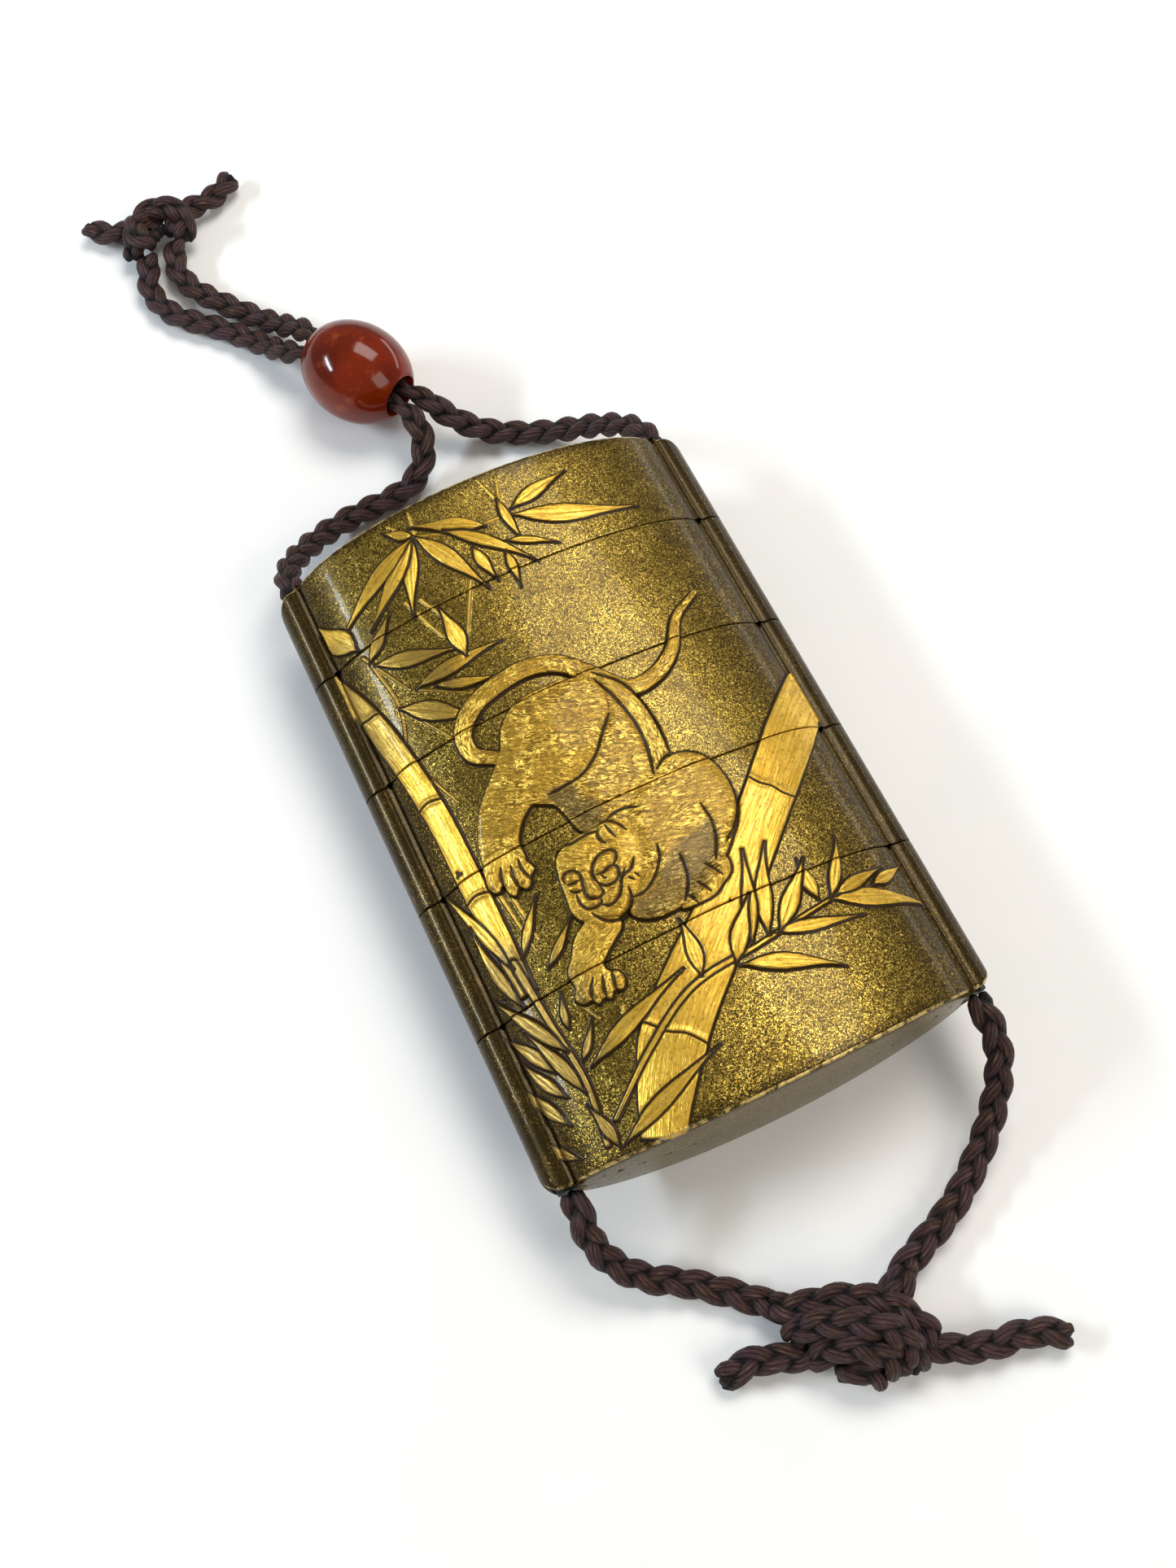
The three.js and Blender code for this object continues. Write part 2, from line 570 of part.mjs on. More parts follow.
// An egg-shaped bead turned on its axis, with a bore through it
function beadSolid() {
  const profile = [];
  const steps = 12;
  for (let i = 0; i <= steps; i++) {
    const turn = -Math.PI / 2 + (Math.PI * i) / steps;
    const radius = (beadDiameter / 2) * Math.cos(turn);
    if (radius > beadBore / 2) {
      profile.push(new THREE.Vector2(radius, (beadLength / 2) * Math.sin(turn)));
    }
  }
  const end = (beadLength / 2) * Math.sqrt(1 - (beadBore / beadDiameter) ** 2);
  profile.unshift(new THREE.Vector2(beadBore / 2, -end));
  profile.push(new THREE.Vector2(beadBore / 2, end));
  profile.push(profile[0].clone());
  const geometry = new THREE.LatheGeometry(profile, 18);
  const upright = new THREE.Vector3(0, 1, 0);
  geometry.applyQuaternion(new THREE.Quaternion().setFromUnitVectors(upright, beadAxis.clone().normalize()));
  geometry.translate(beadCentre.x, beadCentre.y, beadCentre.z);
  return toSolid(geometry);
}

function lump([x, y, z], [rx, ry, rz], degrees) {
  const geometry = new THREE.SphereGeometry(1, 9, 6);
  geometry.scale(rx, ry, rz);
  geometry.rotateZ(THREE.MathUtils.degToRad(degrees));
  geometry.translate(x, y, z);
  return toSolid(geometry);
}

// A tied knot as a few fused lumps with two short cord ends, socketed where cords run into it
function knotSolid(lumps, ends, routes) {
  let solid = lumps.map((l) => lump(...l)).reduce((a, b) => a.add(b));
  ends.forEach((route) => {
    solid = solid.add(cordTube(route, cordDiameter, 0));
  });
  routes.forEach((route) => {
    solid = solid.subtract(cordTube(route, cordDiameter, touchGap));
  });
  return solid.subtract(tableBlock());
}

function topKnot() {
  const lumps = [
    [[-22.4, 115.4, 3.4], [5.8, 3.6, 3.6], -20],
    [[-19.4, 116.4, 3.6], [4.4, 3.2, 3.4], 40],
  ];
  const ends = [
    [[-20, 116, 3], [-16, 117.8, 2.6], [-11.5, 119, 2.1], [-7.6, 121.4, 2]],
    [[-20, 116, 3], [-24, 117.4, 2.6], [-28, 119.2, 2.1], [-31, 122, 2]],
  ];
  return knotSolid(lumps, ends, [topLeftRoute, topRightRoute]);
}

function bottomKnot() {
  const lumps = [
    [[-6.2, -67.4, 4], [5, 4.4, 4.1], -26],
    [[0, -70.2, 4], [4.8, 4.2, 4.1], -26],
    [[-3.2, -69.2, 5], [3.2, 5.8, 3.7], -22],
  ];
  const ends = [
    [[-6, -69, 3.2], [-10.8, -68.6, 2.4], [-15.2, -67, 2], [-19.6, -67.2, 2]],
    [[0.6, -71.6, 3.2], [4.8, -75, 2.4], [9.6, -77, 2], [14.6, -77.8, 2], [18.8, -80, 2]],
  ];
  return knotSolid(lumps, ends, [bottomLeftRoute, bottomRightRoute]);
}

// Finishes, read by eye
const finishes = {
  lacquer: new THREE.MeshStandardMaterial({ color: 0x8a6f2c, roughness: 0.35, metalness: 0.4 }),
  bead: new THREE.MeshStandardMaterial({ color: 0x8c2412, roughness: 0.12, metalness: 0 }),
  cord: new THREE.MeshStandardMaterial({ color: 0x4a3136, roughness: 0.8, metalness: 0 }),
};

const inro = new THREE.Group();

function place(name, solid, finish) {
  const mesh = new THREE.Mesh(toGeometry(solid), finish);
  mesh.name = name;
  inro.add(mesh);
}

caseSections().forEach(({ name, solid }) => place(name, solid, finishes.lacquer));
place("runner_cord_left", runnerCord(-1), finishes.cord);
place("runner_cord_right", runnerCord(1), finishes.cord);
place("top_cord_left", cordTube(topLeftRoute, cordDiameter, 0), finishes.cord);
place("top_cord_right", cordTube(topRightRoute, cordDiameter, 0), finishes.cord);
place("ojime_bead", beadSolid(), finishes.bead);
place("top_knot", topKnot(), finishes.cord);
place("bottom_cord_left", cordTube(bottomLeftRoute, cordDiameter, 0), finishes.cord);
place("bottom_cord_right", cordTube(bottomRightRoute, cordDiameter, 0), finishes.cord);
place("bottom_knot", bottomKnot(), finishes.cord);

export default inro;
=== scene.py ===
import math

import bpy
import numpy as np
from mathutils import Matrix, Vector


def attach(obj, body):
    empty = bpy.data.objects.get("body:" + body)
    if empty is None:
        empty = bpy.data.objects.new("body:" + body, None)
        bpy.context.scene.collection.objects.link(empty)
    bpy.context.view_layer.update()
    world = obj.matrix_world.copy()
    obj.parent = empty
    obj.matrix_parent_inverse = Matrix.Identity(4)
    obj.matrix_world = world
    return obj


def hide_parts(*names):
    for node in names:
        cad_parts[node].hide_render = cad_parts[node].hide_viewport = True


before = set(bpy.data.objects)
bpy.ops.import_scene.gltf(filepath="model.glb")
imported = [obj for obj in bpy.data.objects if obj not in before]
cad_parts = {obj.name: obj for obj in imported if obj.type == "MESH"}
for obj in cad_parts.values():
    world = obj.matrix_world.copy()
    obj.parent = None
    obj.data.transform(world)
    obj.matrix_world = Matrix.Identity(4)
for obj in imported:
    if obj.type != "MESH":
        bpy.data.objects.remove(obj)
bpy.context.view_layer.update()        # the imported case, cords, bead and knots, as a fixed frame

# An inro lying on its back: a stack of lacquered boxes and a lid, a stone bead and a braided cord.
# Shapes are worked out in millimetres and stored in metres.
mm = 0.001


def deselectAll():
    bpy.ops.object.select_all(action="DESELECT")


def makeActive(obj):
    deselectAll()
    obj.select_set(True)
    bpy.context.view_layer.objects.active = obj


def makeMesh(name, points, faces):
    mesh = bpy.data.meshes.new(name)
    mesh.from_pydata((np.asarray(points) * mm).tolist(), [], faces)
    mesh.update()
    obj = bpy.data.objects.new(name, mesh)
    bpy.context.scene.collection.objects.link(obj)
    makeActive(obj)
    bpy.ops.object.shade_smooth()
    return obj


def smoothstep(low, high, value):
    t = np.clip((value - low) / (high - low), 0, 1)
    return t * t * (3 - 2 * t)


# The camera, at the photograph's own angle
camera = {
    "place": (-33.88, -73.92, 206.44),
    "right": (0.9025, -0.4303, -0.0201),
    "up": (0.4036, 0.8283, 0.3886),
    "focalPixels": 2090.2,
    "frame": (1445, 1927),
    "centre": (732.45, 958.69),
    "filmWidth": 36,
}


def addCamera():
    right = Vector(camera["right"]).normalized()
    up = Vector(camera["up"])
    up = (up - right * up.dot(right)).normalized()
    back = right.cross(up)
    turn = Matrix((right, up, back)).transposed().to_4x4()
    wide, tall = camera["frame"]
    data = bpy.data.cameras.new("camera")
    data.lens = camera["focalPixels"] / tall * camera["filmWidth"]
    data.sensor_width = camera["filmWidth"]
    data.shift_x = (wide / 2 - camera["centre"][0]) / tall
    data.shift_y = (camera["centre"][1] - tall / 2) / tall
    data.clip_start = 0.005
    obj = bpy.data.objects.new("camera", data)
    obj.matrix_world = Matrix.Translation(Vector(camera["place"]) * mm) @ turn
    bpy.context.scene.collection.objects.link(obj)
    bpy.context.scene.camera = obj


addCamera()
print("camera placed")

# Cord: three strands of twisted silk yarn, plaited flat
cord = {
    "diameter": 3.7,
    "strandRadius": 0.92,
    "sideways": 0.9,
    "upwards": 0.5,
    "pitch": 11.2,
    "spacing": 0.42,
    "sides": 33,
    "yarns": 11,
    "yarnDepth": 0.045,
    "yarnTwist": 22.0,
}
bead = {
    "length": 17,
    "diameter": 14,
    "bore": 5.8,
    "lip": 0.5,
    "centre": np.array([-4.7, 75.4, 7.0]),
    "axis": np.array([-0.512, 0.859, 0.0]),
    "squeeze": 0.62,
}
case = {
    "width": 58,
    "bodyHalf": 26.4,
    "frontCrown": 10,
    "backCrown": 11.2,
    "roundness": 2.1,
    "ribThickness": 5.4,
    "restingFlat": 0.15,
    "seams": (-41.65, -22.15, -4.95, 11.55, 28.55, 42.25),
    "bottomBow": 2.4,
    "topBow": 1.8,
    "endFaceCrown": 0.7,
    "ribCornerRadius": 2.2,
    "outerWall": 1.5,
    "channelDiameter": 4,
    "channelWall": 0.9,
    "riserClearance": 0.3,
    "riserWall": 1,
    "riserHeight": 4.5,
    "floor": 1.5,
    "seamGap": 0.14,
    "edgeRound": 0.1,
    "endRound": 0.5,
    "grooveDepth": 0.3,
    "grooveWidth": 0.4,
    "frontStep": 0.14,
    "ribStep": 0.28,
    "backStep": 0.85,
    "rowStep": 0.14,
}
halfWidth = case["width"] / 2
ribRadius = case["ribThickness"] / 2
channelX = halfWidth - ribRadius
midZ = case["backCrown"] - case["restingFlat"]
bottomY, topY = case["seams"][0], case["seams"][-1]


def bowed(x, depth):
    return depth * (1 - (x / halfWidth) ** 2)


def beadPoint(along, side, up):
    a = bead["axis"]
    return tuple(bead["centre"] + a * along + np.array([a[1], -a[0], 0]) * side + np.array([0, 0, up]))


mouthTop = topY + bowed(channelX, case["topBow"])
mouthBottom = bottomY - bowed(channelX, case["bottomBow"])
touchGap = 0.3
topLeftRoute = [
    (-channelX, mouthTop + touchGap, midZ), (-channelX, mouthTop + 2, midZ), (-26, 47.2, 9.8),
    (-24.5, 49.9, 7.8), (-21.7, 52.9, 5.2), (-17.8, 55.4, 3.1), (-13, 56.8, 2.1), (-8, 57.1, 2),
    (-4.7, 57.6, 2.5), (-2.2, 59.1, 3.6), (-0.7, 61.5, 5), (-0.4, 64.2, 6.3),
    beadPoint(-8.9, -1.35, -0.1), beadPoint(-3, -1.3, 0), beadPoint(3, -1.3, 0),
    beadPoint(7.8, -1.35, 0), beadPoint(12, -1.9, -1.7), (-14.5, 88.9, 3), (-17.2, 93.1, 2),
    (-20.4, 96.6, 2), (-23.4, 99.4, 2), (-25.5, 102.8, 2), (-26.1, 107.2, 2.1), (-24.2, 112.2, 2.6),
]
topRightRoute = [
    (channelX, mouthTop + touchGap, midZ), (channelX, mouthTop + 2, midZ), (25.7, 47.6, 9.9),
    (23.6, 51.4, 7.2), (20.7, 54.4, 4.6), (17.3, 56.7, 2.8), (13.6, 58.7, 2.1), (10, 60.4, 2.4),
    (6.6, 62.4, 3.7), (4, 64.8, 5.3), beadPoint(-10.4, 1.9, -0.6), beadPoint(-7.8, 1.35, 0),
    beadPoint(-3, 1.3, 0), beadPoint(3, 1.3, 0), beadPoint(7.8, 1.35, 0), beadPoint(12, 2.3, -1.4),
    (-11.6, 91.6, 3.2), (-14, 95.4, 2), (-17.6, 100, 2), (-20.4, 104.4, 2), (-21.2, 109, 2.2),
    (-19.6, 112.8, 2.8),
]
bottomLeftRoute = [
    (-channelX, mouthBottom - touchGap, midZ), (-channelX, mouthBottom - 2, midZ), (-26.5, -46, 9.7),
    (-26.3, -48.2, 7.8), (-24.8, -51.2, 5.2), (-22, -53.8, 3.2), (-18.3, -56, 2.1), (-14.8, -58.7, 2),
    (-11.4, -61.7, 2.2), (-8.8, -64.2, 2.7), (-7, -66.4, 3.4),
]
bottomRightRoute = [
    (channelX, mouthBottom - touchGap, midZ), (channelX, mouthBottom - 2, midZ), (26.5, -46, 10.1),
    (26.3, -48.6, 8.6), (24.9, -51.8, 6.3), (22.4, -55, 4.2), (19.2, -58, 2.7), (15.5, -60.7, 2.1),
    (11.5, -62.8, 2), (7.5, -64.4, 2.1), (3.8, -66.2, 2.6), (1, -68.2, 3.4),
]


def smoothLine(points, spacing, closed=False):
    # A smooth line through chosen points, stepped evenly along its length
    p = np.array(points, float)
    if closed:
        p = np.vstack([p[-1], p, p[0], p[1]])
    else:
        p = np.vstack([2 * p[0] - p[1], p, 2 * p[-1] - p[-2]])
    dense = []
    for a, b, c, d in zip(p, p[1:], p[2:], p[3:]):
        ta = np.sqrt(np.linalg.norm(b - a)) + 1e-9
        tb = np.sqrt(np.linalg.norm(c - b)) + 1e-9
        tc = np.sqrt(np.linalg.norm(d - c)) + 1e-9
        m1 = ((b - a) / ta - (c - a) / (ta + tb) + (c - b) / tb) * tb
        m2 = ((c - b) / tb - (d - b) / (tb + tc) + (d - c) / tc) * tb
        t = np.linspace(0, 1, 24, endpoint=False)[:, None]
        h0, h1 = 2 * t**3 - 3 * t**2 + 1, t**3 - 2 * t**2 + t
        h2, h3 = -2 * t**3 + 3 * t**2, t**3 - t**2
        dense.append(h0 * b + h1 * m1 + h2 * c + h3 * m2)
    dense = np.vstack(dense + [p[-2][None]])
    run = np.r_[0, np.cumsum(np.linalg.norm(np.diff(dense, axis=0), axis=1))]
    count = max(4, int(round(run[-1] / spacing)))
    at = np.linspace(0, run[-1], count + 1)
    return np.stack([np.interp(at, run, dense[:, k]) for k in range(dense.shape[1])], -1), run[-1]


def framesAlong(line):
    # Side and up directions that turn as little as they can along a line
    tangents = np.gradient(line, axis=0)
    tangents /= np.linalg.norm(tangents, axis=1)[:, None]
    ups = np.zeros_like(line)
    u = np.array([0, 0, 1.0])
    if abs(tangents[0] @ u) > 0.9:
        u = np.array([1.0, 0, 0])
    for i, t in enumerate(tangents):
        u = u - t * (u @ t)
        u /= np.linalg.norm(u)
        ups[i] = u
    return np.cross(tangents, ups), ups


def levelFrames(line):
    # Side and up directions that keep the flat of a plait level
    tangents = np.gradient(line, axis=0)
    tangents /= np.linalg.norm(tangents, axis=1)[:, None]
    side = np.cross(tangents, (0, 0, 1))
    side /= np.linalg.norm(side, axis=1)[:, None]
    return side, np.cross(side, tangents)


def braidMesh(line, phase, squeeze, level):
    # Points, faces and thread values of one plaited cord along a line; the thread values hold the place
    # along each yarn and how far out each point lies, for painted shade deep in the plait
    points, faces, threads = [], [], []
    side, up = levelFrames(line) if level else framesAlong(line)
    wide = cord["sideways"] + cord["strandRadius"]
    tall = cord["upwards"] + cord["strandRadius"]
    run = np.r_[0, np.cumsum(np.linalg.norm(np.diff(line, axis=0), axis=1))]
    sides = cord["sides"]
    for k in range(3):
        turn = 2 * math.pi * (run / cord["pitch"] + k / 3) + phase
        across = cord["sideways"] * np.sin(turn) * squeeze
        lift = cord["upwards"] * np.sin(2 * turn) * squeeze
        strand = line + side * across[:, None] + up * lift[:, None]
        strandSide, strandUp = framesAlong(strand)
        around = np.linspace(0, 2 * math.pi, sides, endpoint=False)
        twist = 2 * math.pi * run / cord["yarnTwist"]
        lobes = np.abs(np.cos(0.5 * cord["yarns"] * (around[None, :] + twist[:, None])))
        radius = cord["strandRadius"] * (1 - cord["yarnDepth"] * (1 - lobes) * 2)
        radius = radius * (squeeze[:, None] * 0.94 + 0.06)
        ends = np.minimum(run, run[-1] - run)
        radius = radius * (0.55 + 0.45 * smoothstep(0, 0.9, ends))[:, None]
        ring = (strand[:, None] + strandSide[:, None] * (radius * np.cos(around))[..., None]
                + strandUp[:, None] * (radius * np.sin(around))[..., None])
        base = sum(len(p) for p in points)
        count = len(line)
        points.append(ring.reshape(-1, 3))
        points.append(strand[[0, -1]])
        u = np.broadcast_to(around / (2 * math.pi), (count, sides)) + k
        v = np.broadcast_to(run[:, None], (count, sides))
        # proud: how far out from the cord's middle a point lies, which the silk shader turns into painted
        # shade deep in the plait
        offset = (ring - line[:, None]) / squeeze[:, None, None]
        proud = np.hypot((offset * side[:, None]).sum(-1) / wide,
                         (offset * up[:, None]).sum(-1) / tall)
        threads.append(np.stack([u, v, proud], -1).reshape(-1, 3))
        threads.append(np.array([[k, 0, 0.5], [k, run[-1], 0.5]]))
        grid = base + np.arange(count * sides).reshape(count, sides)
        a, b = grid[:-1], grid[1:]
        quads = np.stack([a, np.roll(a, -1, 1), np.roll(b, -1, 1), b], -1).reshape(-1, 4)
        faces += quads.tolist()
        first, last = base + count * sides, base + count * sides + 1
        faces += [[grid[0, (j + 1) % sides], grid[0, j], first] for j in range(sides)]
        faces += [[grid[-1, j], grid[-1, (j + 1) % sides], last] for j in range(sides)]
    return np.vstack(points), faces, np.vstack(threads)


def beadSqueeze(line):
    away = np.linalg.norm(line - bead["centre"], axis=1) - bead["length"] / 2
    spread = away * (1 - bead["squeeze"]) / (0.8 * cord["diameter"])
    return np.clip(bead["squeeze"] + spread, bead["squeeze"], 1)


def storeThreads(obj, threads):
    layer = obj.data.attributes.new("thread", "FLOAT_VECTOR", "POINT")
    layer.data.foreach_set("vector", threads.astype(np.float32).ravel())


def addCord(name, route, phase):
    line, length = smoothLine(route, cord["spacing"])
    points, faces, threads = braidMesh(line, phase, beadSqueeze(line), level=True)
    obj = makeMesh(name, points, faces)
    storeThreads(obj, threads)
    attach(obj, "root")
    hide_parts(name.replace("Braid", ""))
    return obj


# Knots: short lengths of the same cord wound over each other, each with two free ends
knots = {
    "top": {
        "winds": [
            [(-26.4, 112.6, 2.4), (-24.6, 116.6, 3.4), (-20.6, 118.2, 5.0), (-17.2, 115.6, 4.6),
             (-18.4, 112.6, 2.6)],
            [(-22.6, 112.4, 4.2), (-24.6, 114.6, 5.2), (-23.2, 117.8, 4.2), (-19.8, 118.6, 2.6)],
        ],
        "ends": [
            [(-20.4, 114.6, 3.2), (-16, 117.8, 2.6), (-11.5, 119, 2.1), (-7.6, 121.4, 2)],
            [(-21, 115, 3), (-24.4, 117.6, 2.6), (-28, 119.2, 2.1), (-31, 122, 2)],
        ],
    },
    "bottom": {
        "winds": [
            [(-10.9, -62.6, 3.0), (-8.6, -63.9, 4.2), (-5.8, -64.6, 5.2), (-2.2, -65.9, 5.6),
             (1, -68.2, 5.6), (3, -71.1, 5.0), (4.2, -73.8, 3.8)],
            [(-10.6, -66.6, 2.6), (-8.2, -66.4, 5.4), (-5.6, -67.4, 7.4), (-2.6, -69, 8.2),
             (0, -71.2, 7.4), (1.2, -74, 5.0), (0.8, -75.6, 2.6)],
            [(-9.4, -69.6, 2.4), (-6.6, -69.8, 5.6), (-3.8, -71.2, 6.8), (-1.6, -73.4, 5.6),
             (-1, -75.4, 3.2)],
            [(-7.2, -71.8, 2.2), (-4.6, -73.2, 4.4), (-2.8, -75, 2.4)],
            [(5, -65.8, 3.4), (2.9, -67.4, 4.2), (0.9, -68.8, 4.2), (-2.4, -70, 3.4)],
            [(-9.4, -65.2, 2.0), (-5, -67.6, 2.6), (-0.5, -70.2, 2.6), (2.2, -72.6, 2.2)],
        ],
        "ends": [
            [(-5, -69, 3.2), (-10.8, -68.6, 2.4), (-15.2, -67, 2), (-19.6, -67.2, 2)],
            [(0.4, -71.2, 3.2), (4.8, -75, 2.4), (9.6, -77, 2), (14.6, -77.8, 2), (18.8, -80, 2)],
        ],
    },
}


def addKnot(name, node, spec):
    allPoints, allFaces, allThreads = [], [], []
    for i, route in enumerate(spec["winds"] + spec["ends"]):
        line, _ = smoothLine(route, cord["spacing"])
        points, faces, threads = braidMesh(line, 1.3 * i, np.ones(len(line)), level=False)
        base = sum(len(p) for p in allPoints)
        allPoints.append(points)
        allThreads.append(threads)
        allFaces += [[v + base for v in face] for face in faces]
    points = np.vstack(allPoints)
    points[:, 2] = np.maximum(points[:, 2], 0.05)
    obj = makeMesh(name, points, allFaces)
    storeThreads(obj, np.vstack(allThreads))
    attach(obj, "root")
    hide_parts(node)
    return obj


topKnot = addKnot("topKnotBraid", "top_knot", knots["top"])
bottomKnot = addKnot("bottomKnotBraid", "bottom_knot", knots["bottom"])
cordPieces = [
    addCord("top_cord_leftBraid", topLeftRoute, 0.4),
    addCord("top_cord_rightBraid", topRightRoute, 1.7),
    addCord("bottom_cord_leftBraid", bottomLeftRoute, 0.9),
    addCord("bottom_cord_rightBraid", bottomRightRoute, 2.4),
    topKnot, bottomKnot,
]
print("cords and knots plaited")

# The raised picture, drawn in millimetres on the face: bamboo leaves, trunks, twigs and the tiger
relief = {
    "leaf": 0.46,
    "leafStagger": 0.12,
    "leafStretch": 1.14,
    "leafBend": 0.16,
    "trunk": 0.62,
    "body": 0.72,
    "limb": 0.95,
    "head": 1.15,
    "edge": 0.1,
    "groove": 0.2,
    "grooveWidth": 0.17,
    "lineDepth": 0.3,
    "lineWidth": 0.19,
    "meltWidth": 0.5,
    "twigWidth": 0.2,
    "twigHeight": 0.16,
    "stalk": 0.45,
    "veinDepth": 0.12,
    "veinWidth": 0.11,
    "veinDark": 0.3,
    "slimLeaf": 0.66,
    "fullLeaf": 0.92,
    "jointRidge": 0.2,
    "jointCut": 0.4,
    "jointCutWidth": 0.13,
    "jointRidgeWidth": 0.5,
    "chipDepth": 0.12,
    "earRise": 0.34,
    "greyBlur": 0.7,
    "leftShadeBlur": 1.6,
}
# share of the leaf's length, share of its half width
leafProfile = ([0, 0.07, 0.17, 0.3, 0.42, 0.56, 0.7, 0.84, 1],
               [0.05, 0.2, 0.62, 0.94, 1, 0.8, 0.46, 0.2, 0.04])
# foot x and y, direction in degrees, length, width
leaves = [
    (-9.9, 38.8, -62, 11.1, 2.6), (-9.9, 38.8, -115, 10, 2.2), (-9.9, 38.8, -137, 11.7, 2.3),
    (-9.9, 38.8, -153, 13.8, 2.4), (-9.9, 38.8, 145, 3.7, 1.6), (-1.1, 35.8, 153, 8.7, 2.5),
    (-6.3, 37.6, -43, 11.4, 1.9), (-3.9, 33.8, -81, 5.2, 1.7), (-0.4, 31.4, -92, 4.9, 1.3),
    (2.4, 36, -19, 14.4, 3), (2.8, 36.8, 17, 8, 2.2), (1.7, 38.9, -87, 6.6, 1.4),
    (0.2, 32.8, -25, 6, 1.2), (-21.5, 26.3, 43, 5.9, 1.7), (-22.1, 28.8, 117, 6.4, 3.2),
    (-21.1, 25.7, -22, 9.5, 2.4), (-17.8, 19.8, 3, 10.5, 2.2), (-15.7, 18.9, -23, 7.3, 1.6),
    (-20.6, 18.7, -38, 9.4, 2.8), (-10.6, 20.4, 92, 6.9, 2.4),
    (1.3, -29.4, -22, 10.6, 2.3), (6.3, -27.4, -12, 10, 1.7), (14.5, -26.5, -19, 11.1, 2.6),
    (20.1, -26.6, 14, 4.6, 1.7), (15.3, -26.2, 11, 6.6, 1.8), (14.6, -26.4, 55, 7.3, 1.6),
    (13.2, -26, 91, 4.9, 1.8), (7.2, -27.7, 45, 8.7, 2.3), (5.9, -27.6, 68, 10, 2.2),
    (3.7, -27.7, 68, 10, 1.9), (1, -29, 55, 7.4, 2.3), (-3.2, -28.6, 82, 6.4, 1.9),
    (-20.1, -29.2, 117, 10, 2.4), (-22.4, -30.5, 115, 7.1, 2.2), (-22.4, -33.6, 115, 6.3, 2),
    (-23.3, -36.5, 116, 7.7, 2.2), (-23.8, -40.3, 130, 5.7, 1.8), (-20.3, -34.3, 107, 9.3, 2.3),
    (-18.6, -32, 21, 13, 3.1), (-19.3, -31, 49, 4.4, 1.5), (-20.2, -17, 54, 6.6, 1.7),
    (-18.2, -19.6, 39, 5.7, 1.7), (-19, -27, 81, 3.8, 1.5), (-21.6, -17.5, 105, 12.3, 2),
    (-22.4, -22.1, 100, 10.4, 2), (-19.5, -41.4, 101, 5.4, 2), (-19.1, -41.4, 20, 13.3, 2.8),
]
trunks = [
    {"line": [(-27.2, 29.6), (-24.3, 20.3), (-22.1, 5.8), (-21.7, -7.7), (-21.3, -21)],
     "widths": (1.8, 2.8, 2.9, 3, 2)},
    {"line": [(-15, -42.9), (-12.7, -38.7), (-8.8, -33.1), (3.3, -22.2), (14.9, -11.1), (27.6, 2)],
     "widths": (5, 7.8, 7.3, 6.2, 6, 6.3, 5.4)},
]
# Joints of the trunks: a fine wavy cut between two low ridges
joints = [
    [(-26, 20.9), (-24.4, 20), (-22.9, 19.9)], [(-23.7, 5.6), (-22.2, 5.9), (-20.6, 5.5)],
    [(-23.3, -7.9), (-21.8, -7.5), (-20.1, -7.9)],
    [(-12.2, -29.5), (-10.9, -30.8), (-9.4, -32.6), (-7.7, -33.7), (-6, -35.9)],
    [(12.8, -8.6), (13.6, -10.1), (14.8, -11.1), (15.7, -12.4), (17.1, -13.5)],
]
stalks = [
    {"line": [(-18.6, -38.4), (-12, -33.4), (-4.8, -29.3), (5, -28), (14.5, -26.5)],
     "widths": (0.6, 0.7, 0.65, 0.55, 0.4)},
    {"line": [(-21.3, -17), (-20.6, -25), (-19.8, -33), (-20.6, -40.4)], "widths": (0.9, 0.8, 0.7, 0.7)},
]
twigs = [
    [(-9.9, 38.8), (-3.9, 36.6), (2.4, 36.2)], [(-9.9, 38.8), (-12.4, 42)], [(-9.7, 39), (-9.2, 42.4)],
    [(1.7, 38.6), (0.6, 42.6)], [(2, 38.8), (3, 42.2)], [(-14.4, 31), (-12.2, 24.6), (-9.4, 20)],
    [(-12.6, 30.4), (-9.6, 23.4)], [(-6, 29.6), (-10.6, 20.6)], [(-22, 27.6), (-18.6, 20.2)],
    [(-21.4, 26), (-20.6, 18.7), (-22.6, 12)], [(-18, 19.8), (-12.2, 15.8)], [(-20.6, 19), (-16.4, 11.4)],
    [(-22.2, 12), (-19.2, 4)], [(-19.6, -8.6), (-18.6, -17)], [(-18.4, -9), (-17.8, -16)],
    [(-12.6, -27.6), (-13.6, -31.4)], [(-17, -24.6), (-15.6, -27.6)],
]
tigerTail = [(-12.9, 6.4), (-15.2, 8.3), (-15.2, 11.1), (-13, 13.6), (-9, 14.9), (-4.6, 15.2), (-1, 13.9),
             (1.6, 11.2), (5.3, 7.4), (8.9, 7.8), (12.3, 10.2), (14.9, 14.2), (18.6, 16.8)]
tigerSpine = [(1.4, 11), (4, 6.6), (4.7, 1.2), (4.4, -3.4)]
haunch = [(-12.3, 6.8), (-11, 9.4), (-8.6, 11.4), (-4.6, 12), (-0.6, 11.6), (2.2, 9.4), (1.6, 5.4),
          (-0.6, 2.6), (-6.4, -0.4), (-12, -1.4), (-14.6, -4.2), (-15, -7), (-16.4, -7.8), (-19.4, -6.6),
          (-19.4, -3), (-17.5, 1.3), (-15, 4)]
hindPaw = [(-19.5, -4.6), (-20.1, -6.4), (-20.1, -8.1), (-19.3, -8.8), (-18.6, -8.2), (-18.4, -9.5),
           (-17.7, -10.2), (-17, -9.4), (-16.4, -10.1), (-15.6, -9.8), (-15.3, -8.9), (-14.5, -8.4),
           (-14.8, -7.2), (-15.7, -5.6), (-16.4, -4.4)]
flank = [(-11.6, -0.8), (-6.4, 0), (-0.4, 3), (1.8, 6), (2.6, 9.6), (4.6, 6), (4.8, 1), (4.6, -3.6),
         (2, -8.6), (-3.7, -9), (-6.7, -5.8), (-9.2, -2.6)]
